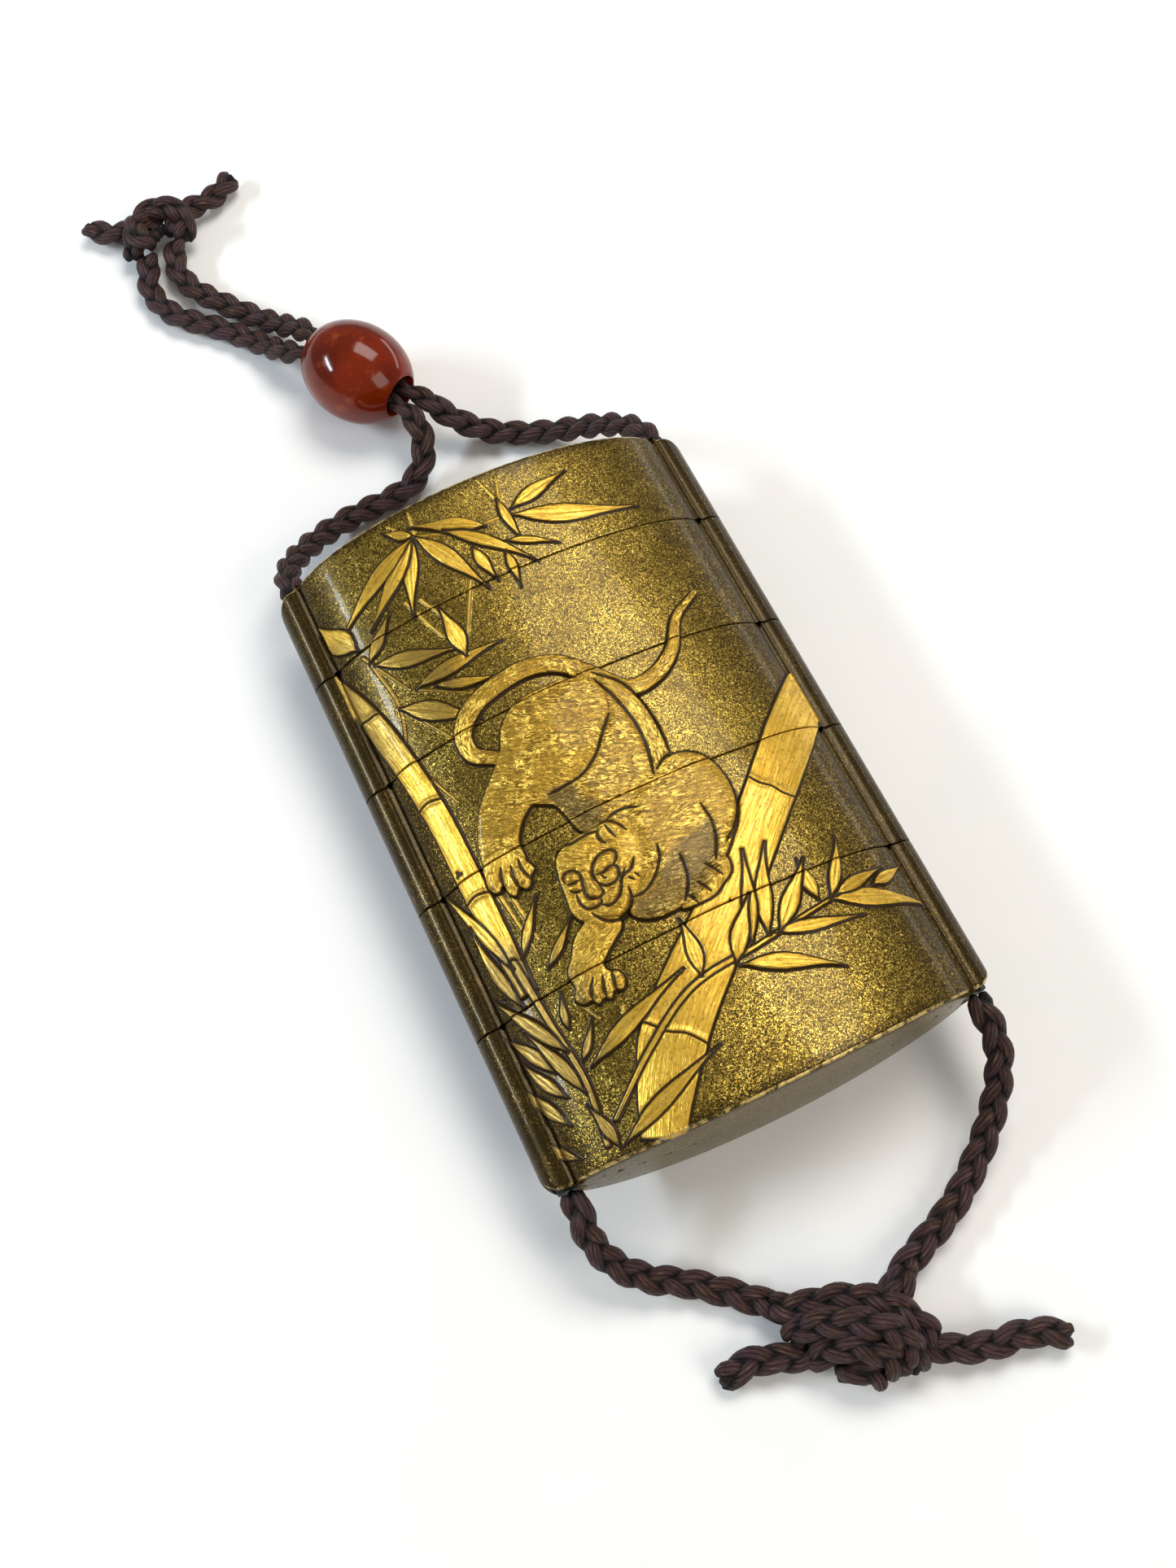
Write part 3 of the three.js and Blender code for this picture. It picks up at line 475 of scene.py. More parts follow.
shoulder = [(3.1, -3.9), (5.6, -2.6), (8.4, -3.4), (10.2, -5.9), (10.6, -9.6), (9.5, -12.8), (7.4, -15.4),
            (4.6, -18), (0.9, -19.8), (-1.9, -20.4), (-4.3, -20.4), (-6.2, -19.7), (-7.2, -18.4),
            (-5.6, -15), (-3.4, -10.4), (-1.6, -6.6), (0.8, -4.6)]
head = [(-4.6, -7.2), (-7.4, -7.2), (-10, -7.4), (-12, -8.6), (-12.6, -10.6), (-12.9, -13.2),
        (-13, -15.6), (-12, -17.2), (-10.2, -18.2), (-8.2, -18.3), (-6, -17.2), (-3.6, -14.2),
        (-2.4, -10.6), (-3, -8.2)]
ear = [(-5.9, -7), (-6.5, -8.2), (-6.3, -9.5), (-5.2, -10.1), (-3.6, -9.6), (-3.7, -8.2), (-4.7, -7.2)]
belly = [(-9.4, -0.9), (-8.8, -3.9), (-7.8, -7), (-5.6, -7.4), (-3.2, -6.6), (-2.4, -3.4), (-4.4, -0.4),
         (-7, 0.2)]
rightPaw = [(-1.7, -20.6), (0.2, -19), (2.6, -17), (4.6, -15.9), (5.8, -17), (5.5, -18.9), (4, -19.9),
            (2.6, -20.7), (0.4, -20.9)]
foreleg = [(-8.4, -18.4), (-8.6, -19.4), (-9.9, -20.4), (-11.3, -21.4), (-12.3, -22.3), (-12.2, -23.1),
           (-11.2, -23.8), (-10.9, -25), (-11.6, -26), (-12.6, -25.7), (-13.2, -26.4), (-14, -25.9),
           (-14.8, -26.3), (-15.3, -25.5), (-16.2, -25.5), (-17, -24.4), (-16.4, -23.2), (-16.5, -21.4),
           (-15.3, -19.8), (-14.2, -18.2), (-12.4, -17), (-10, -17)]


def distanceToLoop(px, py, loop):
    # Distance to a closed outline, negative inside
    best = np.full(px.shape, 1e9)
    inside = np.zeros(px.shape, bool)
    for (ax, ay), (bx, by) in zip(loop, np.roll(loop, -1, 0)):
        dx, dy = bx - ax, by - ay
        t = np.clip(((px - ax) * dx + (py - ay) * dy) / (dx * dx + dy * dy + 1e-12), 0, 1)
        best = np.minimum(best, np.hypot(px - ax - t * dx, py - ay - t * dy))
        crosses = (ay > py) != (by > py)
        reach = ax + (py - ay) * dx / np.where(abs(dy) < 1e-12, 1e-12, dy)
        inside ^= crosses & (px < reach)
    return np.where(inside, -best, best)


def alongLine(px, py, line):
    # Nearest place along a line: run from its start, distance to its right, distance away
    best = np.full(px.shape, 1e9)
    run = np.zeros(px.shape)
    side = np.zeros(px.shape)
    start = 0.0
    last = len(line) - 2
    for i, (a, b) in enumerate(zip(line, line[1:])):
        d = b - a
        length = math.hypot(*d)
        d = d / length
        along = (px - a[0]) * d[0] + (py - a[1]) * d[1]
        low = -1e9 if i == 0 else 0
        high = 1e9 if i == last else length
        t = np.clip(along, low, high)
        across = (px - a[0]) * d[1] - (py - a[1]) * d[0]
        away = np.hypot(px - a[0] - t * d[0], py - a[1] - t * d[1])
        nearer = away < best
        best = np.where(nearer, away, best)
        run = np.where(nearer, start + t, run)
        side = np.where(nearer, across, side)
        start += length
    return run, side, best, start


class Face:
    # Heights and finishes of the raised picture at points of the face
    def __init__(self, x, y):
        self.x, self.y = x, y
        self.height = np.zeros(len(x))
        self.gold = np.zeros(len(x))
        self.line = np.zeros(len(x))
        self.fur = np.zeros(len(x))
        self.animal = np.zeros(len(x))
        self.greyAndShade = np.zeros(len(x))
        self.along = np.zeros(len(x))
        self.across = np.zeros(len(x))

    def near(self, points, margin):
        low, high = np.min(points, 0) - margin, np.max(points, 0) + margin
        within = (self.x > low[0]) & (self.x < high[0]) & (self.y > low[1]) & (self.y < high[1])
        return np.nonzero(within)[0]

    def raiseShape(self, at, away, top, along, across, fur=0.0, melts=False):
        # Lays one raised shape over what is there, with a dark groove round its edge;
        # the animal's own parts melt into each other instead
        melt = float(melts) * smoothstep(0.5, 0.9, self.animal[at])
        edge = relief["edge"] + melt * relief["meltWidth"]
        cover = smoothstep(edge, -edge, away)
        groove = np.exp(-((away - 0.06) / relief["grooveWidth"]) ** 2) * (1 - melt)
        base = self.height[at] - relief["groove"] * groove * smoothstep(0.05, 0.4, self.height[at])
        self.height[at] = base * (1 - cover) + top * cover
        self.gold[at] = self.gold[at] * (1 - cover) + cover
        self.fur[at] = self.fur[at] * (1 - cover) + fur * cover
        self.animal[at] = self.animal[at] * (1 - cover) + cover * (fur > 0)
        within = smoothstep(-0.02, -0.3, away)
        self.line[at] = np.maximum(self.line[at] * (1 - cover), groove * (1 - within))
        inside = away < 0.1 - 0.1 * melt
        self.along[at] = np.where(inside, along, self.along[at])
        self.across[at] = np.where(inside, across, self.across[at])

    def addLeaf(self, i, spec):
        x, y, degrees, length, width = spec
        length = length * relief["leafStretch"]
        turn = math.radians(degrees)
        d = np.array([math.cos(turn), math.sin(turn)])
        foot = np.array([x, y])
        at = self.near(np.array([foot, foot + d * length]), width)
        px, py = self.x[at] - x, self.y[at] - y
        t = (px * d[0] + py * d[1]) / length
        v = -px * d[1] + py * d[0]
        bend = relief["leafBend"] * (1 if i % 2 else -1) * (0.6 + 0.4 * math.sin(2.3 * i))
        v = v - bend * length * (t * t - 0.7 * t)
        share = relief["slimLeaf" if x < -16 and y < -14 else "fullLeaf"]    # slim at the lower left
        half = share * width / 2 * np.interp(t, leafProfile[0], leafProfile[1])
        away = np.maximum(np.abs(v) - half, np.maximum(-t, t - 1) * length)
        away = np.where(np.abs(v) - half > -0.3, away * 0.96, away)
        crest = np.clip(1 - (np.abs(v) / np.maximum(half, 0.05)) ** 2, 0, 1)
        height = relief["leaf"] + relief["leafStagger"] * (i % 3) - 0.1
        top = height * (0.72 + 0.28 * crest)
        vein = np.exp(-(v / relief["veinWidth"]) ** 2) * smoothstep(0.96, 0.7, t)
        top = top - relief["veinDepth"] * vein
        self.raiseShape(at, away, top, t * length + i * 7.3, v + i * 3.7)
        self.line[at] = np.maximum(self.line[at], relief["veinDark"] * vein * (away < -0.05))

    def addBand(self, line, widths, height, fur=0.0, rounded=0.45, flatEnds=False, offset=0.0, step=0.5):
        path, _ = smoothLine(line, step)
        at = self.near(path, max(widths))
        run, side, gap, length = alongLine(self.x[at], self.y[at], path)
        half = np.interp(run, np.linspace(0, length, len(widths)), widths) / 2
        beyond = np.maximum(-run, run - length)
        if flatEnds:
            away = np.maximum(np.abs(side) - half, beyond)
            away = np.where(gap > np.maximum(half, 0) + 1.5, gap, away)
        else:
            rounding = np.hypot(np.maximum(beyond, 0), side)
            away = np.where(beyond > 0, rounding, np.abs(side)) - half
        crest = np.sqrt(np.clip(1 - (side / np.maximum(half, 0.05)) ** 2, 0, 1))
        top = height * (1 - rounded + rounded * crest)
        self.raiseShape(at, away, top, run + offset, side + offset * 0.31, fur, melts=fur > 0)

    def addLoop(self, points, height, fur=1.0, dome=0.4, reach=2.2, direction=0.0, melts=True):
        loop, _ = smoothLine(points, 0.35, closed=True)
        at = self.near(loop, 1.0)
        away = distanceToLoop(self.x[at], self.y[at], loop)
        rise = np.clip(-away / reach, 0, 1)
        top = height * (1 - dome + dome * np.sqrt(rise * (2 - rise)))
        turn = math.radians(direction)
        along = self.x[at] * math.cos(turn) + self.y[at] * math.sin(turn)
        across = -self.x[at] * math.sin(turn) + self.y[at] * math.cos(turn)
        self.raiseShape(at, away, top, along, across, fur, melts)

    def tint(self, points, amount, blur):
        # A patch that shows grey: the tiger's thin, worn gold, and painted shade on the left-side patches
        loop, _ = smoothLine(points, 0.35, closed=True)
        at = self.near(loop, blur)
        away = distanceToLoop(self.x[at], self.y[at], loop)
        self.greyAndShade[at] = np.maximum(self.greyAndShade[at], amount * smoothstep(blur, -blur, away))

    def chip(self, place, size):
        # A small loss that shows the black foundation
        at = self.near(np.array([place, place]), 1.5)
        dx, dy = self.x[at] - place[0], self.y[at] - place[1]
        away = np.hypot(dx, dy) / (size * (1 + 0.35 * np.sin(3 * np.arctan2(dy, dx) + place[0])))
        mark = smoothstep(1.25, 0.85, away)
        self.line[at] = np.maximum(self.line[at], mark)
        self.height[at] -= relief["chipDepth"] * mark

    def swell(self, points, height, blur=0.35):
        # A small soft lump on what is there, such as an eyelid or a toe
        loop, _ = smoothLine(points, 0.2, closed=True)
        at = self.near(loop, 0.5)
        away = distanceToLoop(self.x[at], self.y[at], loop)
        self.height[at] += height * smoothstep(0.05, -blur, away)

    def cutLine(self, points):
        width = relief["lineWidth"]
        path, _ = smoothLine(points, 0.25)
        at = self.near(path, width * 4)
        run, _, gap, length = alongLine(self.x[at], self.y[at], path)
        beyond = np.maximum(np.maximum(-run, run - length), 0)
        taper = 0.45 + 0.55 * np.clip(np.minimum(run, length - run) / 0.8, 0, 1)
        mark = np.exp(-(np.hypot(gap, beyond) / (width * taper)) ** 2)
        self.height[at] -= relief["lineDepth"] * mark
        self.line[at] = np.maximum(self.line[at], mark)

    def addJoint(self, points):
        path, _ = smoothLine(points, 0.3)
        at = self.near(path, 2)
        run, _, gap, length = alongLine(self.x[at], self.y[at], path)
        gap = np.hypot(gap, np.maximum(np.maximum(-run, run - length), 0))
        cut = np.exp(-(gap / relief["jointCutWidth"]) ** 2)
        ridge = relief["jointRidge"] * np.exp(-(gap / relief["jointRidgeWidth"]) ** 2)
        self.height[at] += (ridge - relief["jointCut"] * cut) * smoothstep(0.1, 0.4, self.height[at])
        self.line[at] = np.maximum(self.line[at], cut)

    def addTwig(self, points):
        path, _ = smoothLine(points, 0.4)
        at = self.near(path, 1)
        run, _, gap, length = alongLine(self.x[at], self.y[at], path)
        width = relief["twigWidth"] * (1 - 0.55 * np.clip(run / length, 0, 1))
        beyond = np.maximum(np.maximum(-run, run - length), 0)
        mark = np.exp(-(np.hypot(gap, beyond) / width) ** 4)
        free = 1 - np.clip(self.height[at] / 0.3, 0, 1)
        self.height[at] += relief["twigHeight"] * mark * free
        self.gold[at] = np.maximum(self.gold[at], 0.85 * mark * free)


tigerLines = [
    # Head, eyes and nose
    [(-12, -8.3), (-11.3, -7.7), (-10.4, -7.6), (-9.5, -7.8), (-8.5, -7.7), (-7.3, -7.6), (-6.4, -7.8)],
    [(-12.2, -11.9), (-12.2, -11.1), (-11.5, -10.7), (-10.8, -10.9), (-10.3, -11.6), (-10.4, -12.4),
     (-10.6, -13.4), (-10.7, -14.3), (-10.2, -15), (-9.5, -15.2), (-8.8, -14.9), (-8.8, -13.9)],
    [(-12.1, -12.1), (-11.4, -12.3), (-10.6, -12.2)],
    [(-12.1, -12.9), (-11.6, -13.4), (-10.9, -13.5)],
    [(-8.8, -13.7), (-9, -12.8), (-8.8, -11.8), (-8, -10.9), (-7, -10.5), (-6, -10.6), (-5.5, -11.2),
     (-5.8, -11.9), (-6.4, -12.4)],
    [(-8.6, -12.6), (-7.7, -12.7), (-6.9, -12.4), (-6.2, -12.6), (-6.1, -13.3), (-6.5, -14),
     (-7.3, -14.4), (-8.2, -14.3), (-8.8, -13.7)],
    [(-8.1, -12.9), (-8, -13.4), (-7.7, -13.6)],
    # Muzzle, mouth, chin and jaw
    [(-11.6, -13.7), (-11.7, -14.8), (-11.2, -15.8), (-10.2, -16.1), (-9.4, -15.8), (-9.4, -15.3)],
    [(-9.6, -16.1), (-8.8, -16.6), (-7.7, -16.3), (-6.9, -15.6), (-6.5, -14.8), (-6.1, -14.1),
     (-5.5, -13.5)],
    [(-6.6, -14.6), (-5.7, -14), (-4.9, -13.8), (-4.3, -13.2), (-3.9, -12.6)],
    [(-11, -16.5), (-10.5, -17.4), (-9.8, -18.1), (-8.8, -18.5), (-7.6, -18.3), (-6.7, -17.6),
     (-6.1, -16.6), (-6, -15.6)],
    [(-6, -16.9), (-4.7, -16.9), (-3.3, -16.2), (-2, -15), (-1.2, -13.8), (-0.8, -12.4)],
    [(-5.5, -14.6), (-5, -15.1)],
    [(-4.6, -14.4), (-4.3, -15)],
    # Ear and neck
    [(-6.1, -7.6), (-6.5, -8.4), (-6.4, -9.2), (-6, -9.7)],
    [(-5.7, -7), (-4.6, -7.2), (-3.8, -8), (-3.2, -9.2)],
    [(-5.2, -7.6), (-5, -8.6), (-4.7, -9.6)],
    [(-4.6, -6.9), (-3.6, -6.6), (-2, -6.6), (-0.6, -7.2)],
    # Haunch, back and shoulder
    [(1.5, 5.3), (-0.5, 3.1), (-2.5, 0.9), (-4.9, -0.5), (-7.2, -0.8), (-9.4, -0.9)],
    [(1.9, 11.1), (4.5, 8.5), (5.6, 5.8), (6.1, 1.8), (5.8, -2.2)],
    [(1.8, 10.1), (3, 6.8), (3.7, 3.2), (3.7, -0.2), (2.8, -4.2)],
    [(3.4, -3.7), (5.1, -2.7), (7.8, -3.1), (9.6, -4.7), (10.5, -7.7), (10.2, -11.2), (8.6, -13.8),
     (6.6, -15.4)],
    [(6, -9.9), (6.2, -12.5), (5.6, -14.8), (4.4, -17)],
    [(1, -14.6), (0.9, -16.2), (0.4, -18), (-0.9, -19.9)],
    # Toes
    [(-14.1, -23.2), (-14.9, -24.4), (-15.2, -25.5)],
    [(-13, -23.4), (-13.5, -24.8), (-13.7, -25.9)],
    [(-11.9, -23.4), (-12.2, -24.8), (-12.4, -26)],
    [(-17.9, -6.2), (-18.4, -7.4), (-18.6, -8.6)],
    [(-16.8, -6.6), (-17.1, -8), (-17, -9.6)],
    [(-15.8, -6.4), (-15.8, -7.8), (-15.5, -9)],
    [(3.1, -16.9), (3.8, -17.8), (4.4, -18.9)],
    [(1.3, -18.4), (1.9, -19.3), (2.3, -20.2)],
    [(-0.4, -19.4), (0.1, -20), (0.3, -20.8)],
]
tigerSwells = [
    ([(-12.1, -11.6), (-11.5, -11), (-10.7, -11.3), (-10.7, -12), (-11.5, -12.2)], 0.28),
    ([(-12, -12.5), (-11.2, -12.5), (-10.8, -13), (-11.5, -13.2)], 0.2),
    ([(-8.6, -12.2), (-7.9, -11.1), (-6.6, -10.8), (-5.9, -11.3), (-6.6, -12.1), (-7.8, -12.4)], 0.3),
    ([(-8.4, -13.2), (-7.4, -12.8), (-6.4, -13), (-6.6, -13.8), (-7.6, -14.1)], 0.26),
    ([(-10.2, -11.4), (-9.2, -11.6), (-9.2, -13.4), (-9, -14.6), (-9.7, -15), (-10.4, -14.6),
      (-10.2, -13)], 0.34),
    ([(-11.3, -14), (-10.9, -15.6), (-9.9, -15.9), (-9.6, -15.4), (-10.7, -14.8)], 0.3),
    ([(-8.8, -15.2), (-7.6, -14.8), (-6.8, -14.6), (-7.2, -15.8), (-8.6, -16.2)], 0.3),
    ([(-10.4, -17), (-9.2, -17.2), (-7.8, -16.9), (-6.6, -16), (-6.6, -17.2), (-8, -18.1),
      (-9.6, -17.9)], 0.28),
    ([(-16.2, -23.6), (-15.2, -24), (-15.2, -25), (-16.2, -25)], 0.22),
    ([(-14.4, -24), (-13.7, -24.2), (-13.9, -25.6), (-14.8, -25.6)], 0.22),
    ([(-13, -24), (-12.5, -24.2), (-12.6, -25.8), (-13.4, -25.8)], 0.22),
    ([(-11.6, -23.6), (-10.9, -24), (-11.2, -25.4), (-12, -25.4)], 0.22),
    ([(-19.6, -6), (-18.6, -6.4), (-18.9, -8), (-19.9, -8)], 0.2),
    ([(-17.8, -6.8), (-17.2, -7), (-17.3, -9.2), (-18.2, -9)], 0.22),
    ([(-16.5, -7), (-15.9, -7.2), (-16, -9.2), (-16.8, -9.2)], 0.22),
    ([(3.7, -16.7), (4.7, -16.3), (5.5, -17.2), (5.2, -18.5), (4.4, -18.3)], 0.3),
    ([(1.9, -17.9), (2.9, -17.4), (3.6, -18.4), (3.8, -19.4), (2.8, -19.5)], 0.3),
    ([(-0.1, -19.4), (1, -18.9), (1.7, -19.7), (1.8, -20.4), (0.8, -20.5)], 0.26),
]
# place and size of small losses
chips = [((-22.5, -4.0), 0.38), ((3.7, -22.1), 0.2), ((-24.1, -20.0), 0.3)]
greyPatches = [
    ([(-9.6, -0.9), (-8.6, -3.9), (-7.7, -7), (-5.9, -7.2), (-4.4, -5.9), (-4.7, -4.4), (-5.8, -3.2),
      (-6.3, -1)], 0.95),
    ([(-6.3, -17.6), (-4.5, -17.2), (-2.9, -16.4), (-1.2, -14.9), (0.6, -13.6), (3, -13), (5.8, -12.2),
      (6, -14.8), (4, -17.6), (0.9, -19.6), (-1.9, -20.2), (-4.3, -20.3), (-6.2, -19.6)], 0.85),
]
# painted shade: the relief along the dim left side, darkened toward the grey colour
leftShadePatches = [
    ([(-26, -15), (-17.5, -16), (-15, -26), (-16.5, -36), (-18, -43.5), (-26, -43.5)], 0.75),
    ([(-26, 13), (-26, 31), (-19, 31), (-12.5, 23), (-15, 14)], 0.6),
]


def drawFace(x, y):
    face = Face(x, y)
    for twig in twigs:
        face.addTwig(twig)
    for i, part in enumerate(trunks):
        face.addBand(part["line"], part["widths"], relief["trunk"], rounded=0.5, flatEnds=True,
                     offset=11.0 * i)
    for joint in joints:
        face.addJoint(joint)
    for i, part in enumerate(stalks):
        face.addBand(part["line"], part["widths"], relief["stalk"], offset=5.0 * i)
    for i, leaf in enumerate(leaves):
        face.addLeaf(i, leaf)
    face.addBand(tigerTail, (1.8, 2.5, 2.5, 2.4, 2.3, 1.6, 0.8), relief["body"], fur=1, step=0.35)
    face.addLoop(belly, relief["body"] - 0.2, dome=0.3, direction=-25)
    face.addLoop(flank, relief["body"], dome=0.25, direction=-25)
    face.addBand(tigerSpine, (2, 2.6, 2.4), relief["body"] + 0.1, fur=1, step=0.35)
    face.addLoop(haunch, relief["limb"], reach=3, direction=-25)
    face.addLoop(hindPaw, relief["limb"] - 0.1, fur=0.6, dome=0.35, reach=1.6, direction=60)
    face.addLoop(rightPaw, relief["limb"] - 0.1, fur=0.3, direction=60, melts=False)
    face.addLoop(shoulder, relief["limb"], dome=0.5, reach=4, direction=-10)
    face.addLoop(foreleg, relief["limb"] - 0.1, fur=0.6, dome=0.35, reach=1.6, direction=20)
    face.addLoop(head, relief["head"], fur=0.55, dome=0.3, reach=2.6, direction=-25)
    face.swell(ear, relief["earRise"], blur=0.6)
    for patch, amount in greyPatches:
        face.tint(patch, amount, relief["greyBlur"])
    # Painted shade on the relief along the left side
    for patch, amount in leftShadePatches:
        face.tint(patch, amount, relief["leftShadeBlur"])
    for place, size in chips:
        face.chip(place, size)
    for lump, rise in tigerSwells:
        face.swell(lump, rise)
    for mark in tigerLines:
        face.cutLine(mark)
    return face


# The lens-shaped body and its two round ribs, as one closed outline
def lensHeight(x, crown, half):
    power = case["roundness"]
    return crown * np.clip(1 - np.abs(np.asarray(x) / half) ** power, 0, None) ** (1 / power)


def lensArc(half, crown, turns):
    power = 2 / case["roundness"]
    return np.stack([half * np.cos(turns) ** power, crown * np.sin(turns) ** power], -1)


def resample(line, step=None, fractions=None):
    run = np.r_[0, np.cumsum(np.linalg.norm(np.diff(line, axis=0), axis=1))]
    if fractions is None:
        fractions = np.linspace(0, 1, max(3, int(round(run[-1] / step))) + 1)
    return np.stack([np.interp(fractions * run[-1], run, line[:, k]) for k in (0, 1)], -1)


def crossing(crown):
    low, high = case["bodyHalf"] - 2.2, channelX
    for _ in range(50):
        mid = (low + high) / 2
        rib = math.sqrt(ribRadius**2 - (mid - channelX) ** 2)
        if lensHeight(mid, crown, case["bodyHalf"]) > rib:
            low = mid
        else:
            high = mid
    return low, float(lensHeight(low, crown, case["bodyHalf"]))


def quarter(crown, bodyStep):
    # From the crown to the outermost point of the rib
    x, z = crossing(crown)
    dense = lensArc(case["bodyHalf"], crown, np.linspace(math.pi / 2, 0.02, 4000))
    dense = np.vstack([dense[dense[:, 0] < x], [[x, z]]])
    body = resample(dense, step=bodyStep)
    top = math.atan2(z, x - channelX)
    steps = int(round(top * ribRadius / case["ribStep"]))
    turns = np.linspace(top, 0, steps + 1)[1:]
    rib = np.stack([channelX + ribRadius * np.cos(turns), ribRadius * np.sin(turns)], -1)
    return np.vstack([body, rib])


def fractionsOf(line):
    run = np.r_[0, np.cumsum(np.linalg.norm(np.diff(line, axis=0), axis=1))]
    return run / run[-1]


frontQuarter = quarter(case["frontCrown"], case["frontStep"])
backQuarter = quarter(case["backCrown"], case["backStep"])


def wholeOutline(front, back):
    right = np.vstack([front, np.stack([back[::-1, 0], -back[::-1, 1]], -1)[1:]])
    left = np.stack([-right[::-1, 0], right[::-1, 1]], -1)[1:-1]
    return np.vstack([right, left])


outer = wholeOutline(frontQuarter, backQuarter)
tangent = np.roll(outer, -1, 0) - np.roll(outer, 1, 0)
outward = np.stack([-tangent[:, 1], tangent[:, 0]], -1)
outward /= -np.linalg.norm(outward, axis=1)[:, None]
outward *= np.sign((outward * outer).sum(1))[:, None]
crossFront, crossBack = crossing(case["frontCrown"]), crossing(case["backCrown"])
marks = np.array([(s * cx, sz * cz) for s in (1, -1)
                  for sz, (cx, cz) in ((1, crossFront), (-1, crossBack))])
gapToMark = np.min(np.linalg.norm(outer[:, None] - marks[None], axis=2), axis=1)
groove = case["grooveDepth"] * np.exp(-((gapToMark / case["grooveWidth"]) ** 2))
outer = outer - outward * groove[:, None]


def hollow(inset):
    half = channelX - case["channelDiameter"] / 2 - case["channelWall"] - inset
    front = case["frontCrown"] - case["outerWall"] - inset
    back = case["backCrown"] - case["outerWall"] - inset
    turns = np.linspace(math.pi / 2, 0, 2000)
    quarterFront = resample(lensArc(half, front, turns), fractions=fractionsOf(frontQuarter))
    quarterBack = resample(lensArc(half, back, turns), fractions=fractionsOf(backQuarter))
    return wholeOutline(quarterFront, quarterBack)


def endShape(x, z, top):
    # Where the bowed and slightly swollen end face stands at a point of the outline
    inner = halfWidth - case["ribCornerRadius"]
    bow = case["topBow"] if top else case["bottomBow"]
    radius = case["ribCornerRadius"]
    corner = np.sqrt(np.clip(radius**2 - np.clip(np.abs(x) - inner, 0, None) ** 2, 0, None))
    reach = bowed(np.clip(np.abs(x), 0, inner), bow) - (radius - corner)
    t = (z + case["backCrown"] + 1) / (case["frontCrown"] + case["backCrown"] + 3)
    swell = case["endFaceCrown"] * (4 * t * (1 - t) - 1)
    return topY + reach + swell if top else bottomY - reach - swell


def ring(outline, y):
    return np.stack([outline[:, 0], np.broadcast_to(y, len(outline)), outline[:, 1] + midZ], -1)


def endRings(top):
    # Rounded edge and end face, from the side wall to the middle
    rings = []
    radius = case["endRound"]
    level = endShape(outer[:, 0], outer[:, 1], top)
    sign = 1 if top else -1
    for turn in np.linspace(0, math.pi / 2, 5):
        inset = outer - outward * radius * (1 - math.cos(turn))
        rings.append(ring(inset, level - sign * radius * (1 - math.sin(turn))))
    inner = outer - outward * radius
    for share in (0.985, 0.96, 0.92, 0.86, 0.78, 0.68, 0.56, 0.44, 0.32, 0.2, 0.1, 0.04):
        flat = inner * share
        rings.append(ring(flat, endShape(flat[:, 0], flat[:, 1], top)))
    return rings


def seamRings(y, top):
    # Slightly rounded edge at a seam, then the flat face that meets the next box
    sign = 1 if top else -1
    r = case["edgeRound"]
    level = y - sign * case["seamGap"] / 2
    inset = outer - outward * r * 0.3
    return [ring(outer, level - sign * r), ring(inset, level - sign * r * 0.3),
            ring(outer - outward * r, level), ring(outer - outward * 0.55, level)]


def flatRings(outline, y):
    return [ring(outline * share, y) for share in (0.97, 0.8, 0.5, 0.15)]


def sectionMesh(index):
    y0, y1 = case["seams"][index], case["seams"][index + 1]
    first, last = index == 0, index == len(case["seams"]) - 2
    socket, riserOut = hollow(0), hollow(case["riserClearance"])
    riserIn = hollow(case["riserClearance"] + case["riserWall"])
    socketTop = y0 + case["riserHeight"] + 0.3
    if last:
        socketTop = topY - case["outerWall"]
    rings = []
    if first:
        rings += endRings(False)[::-1]
        low = endShape(outer[:, 0], outer[:, 1], False) + case["endRound"]
        floorTop = y0 + case["floor"]
    else:
        rings += flatRings(socket, socketTop)[::-1]
        rings += [ring(socket, socketTop), ring(socket, y0 + case["seamGap"] / 2)]
        rings += seamRings(y0, False)[::-1]
        low = np.full(len(outer), y0 + case["seamGap"] / 2 + case["edgeRound"])
        floorTop = socketTop + case["floor"]
    if last:
        high = endShape(outer[:, 0], outer[:, 1], True) - case["endRound"]
    else:
        high = np.full(len(outer), y1 - case["seamGap"] / 2 - case["edgeRound"])
    rows = int(round((y1 - y0) / case["rowStep"]))
    for t in np.linspace(0, 1, rows + 1)[1:-1]:
        rings.append(ring(outer, low + (high - low) * t))
    if last:
        rings += endRings(True)
    else:
        rings += seamRings(y1, True)
        riserTop = y1 + case["riserHeight"]
        rings += [ring(riserOut, y1 - case["seamGap"] / 2), ring(riserOut, riserTop),
                  ring(riserIn, riserTop)]
        rings += [ring(riserIn, floorTop)] + flatRings(riserIn, floorTop)
    count = len(outer)
    points = np.vstack(rings + [rings[0].mean(0)[None], rings[-1].mean(0)[None]])
    grid = np.arange(len(rings) * count).reshape(len(rings), count)
    a, b = grid[:-1], grid[1:]
    faces = np.stack([a, b, np.roll(b, -1, 1), np.roll(a, -1, 1)], -1).reshape(-1, 4).tolist()
    start, end = len(rings) * count, len(rings) * count + 1
    faces += [[start, grid[0, j], grid[0, (j + 1) % count]] for j in range(count)]
    faces += [[end, grid[-1, (j + 1) % count], grid[-1, j]] for j in range(count)]
    return points, faces


def signedVolume(points, faces):
    quads = np.array([f for f in faces if len(f) == 4])
    p = points[quads]
    return float(np.einsum("ij,ij->i", p[:, 0], np.cross(p[:, 1], p[:, 2])).sum())


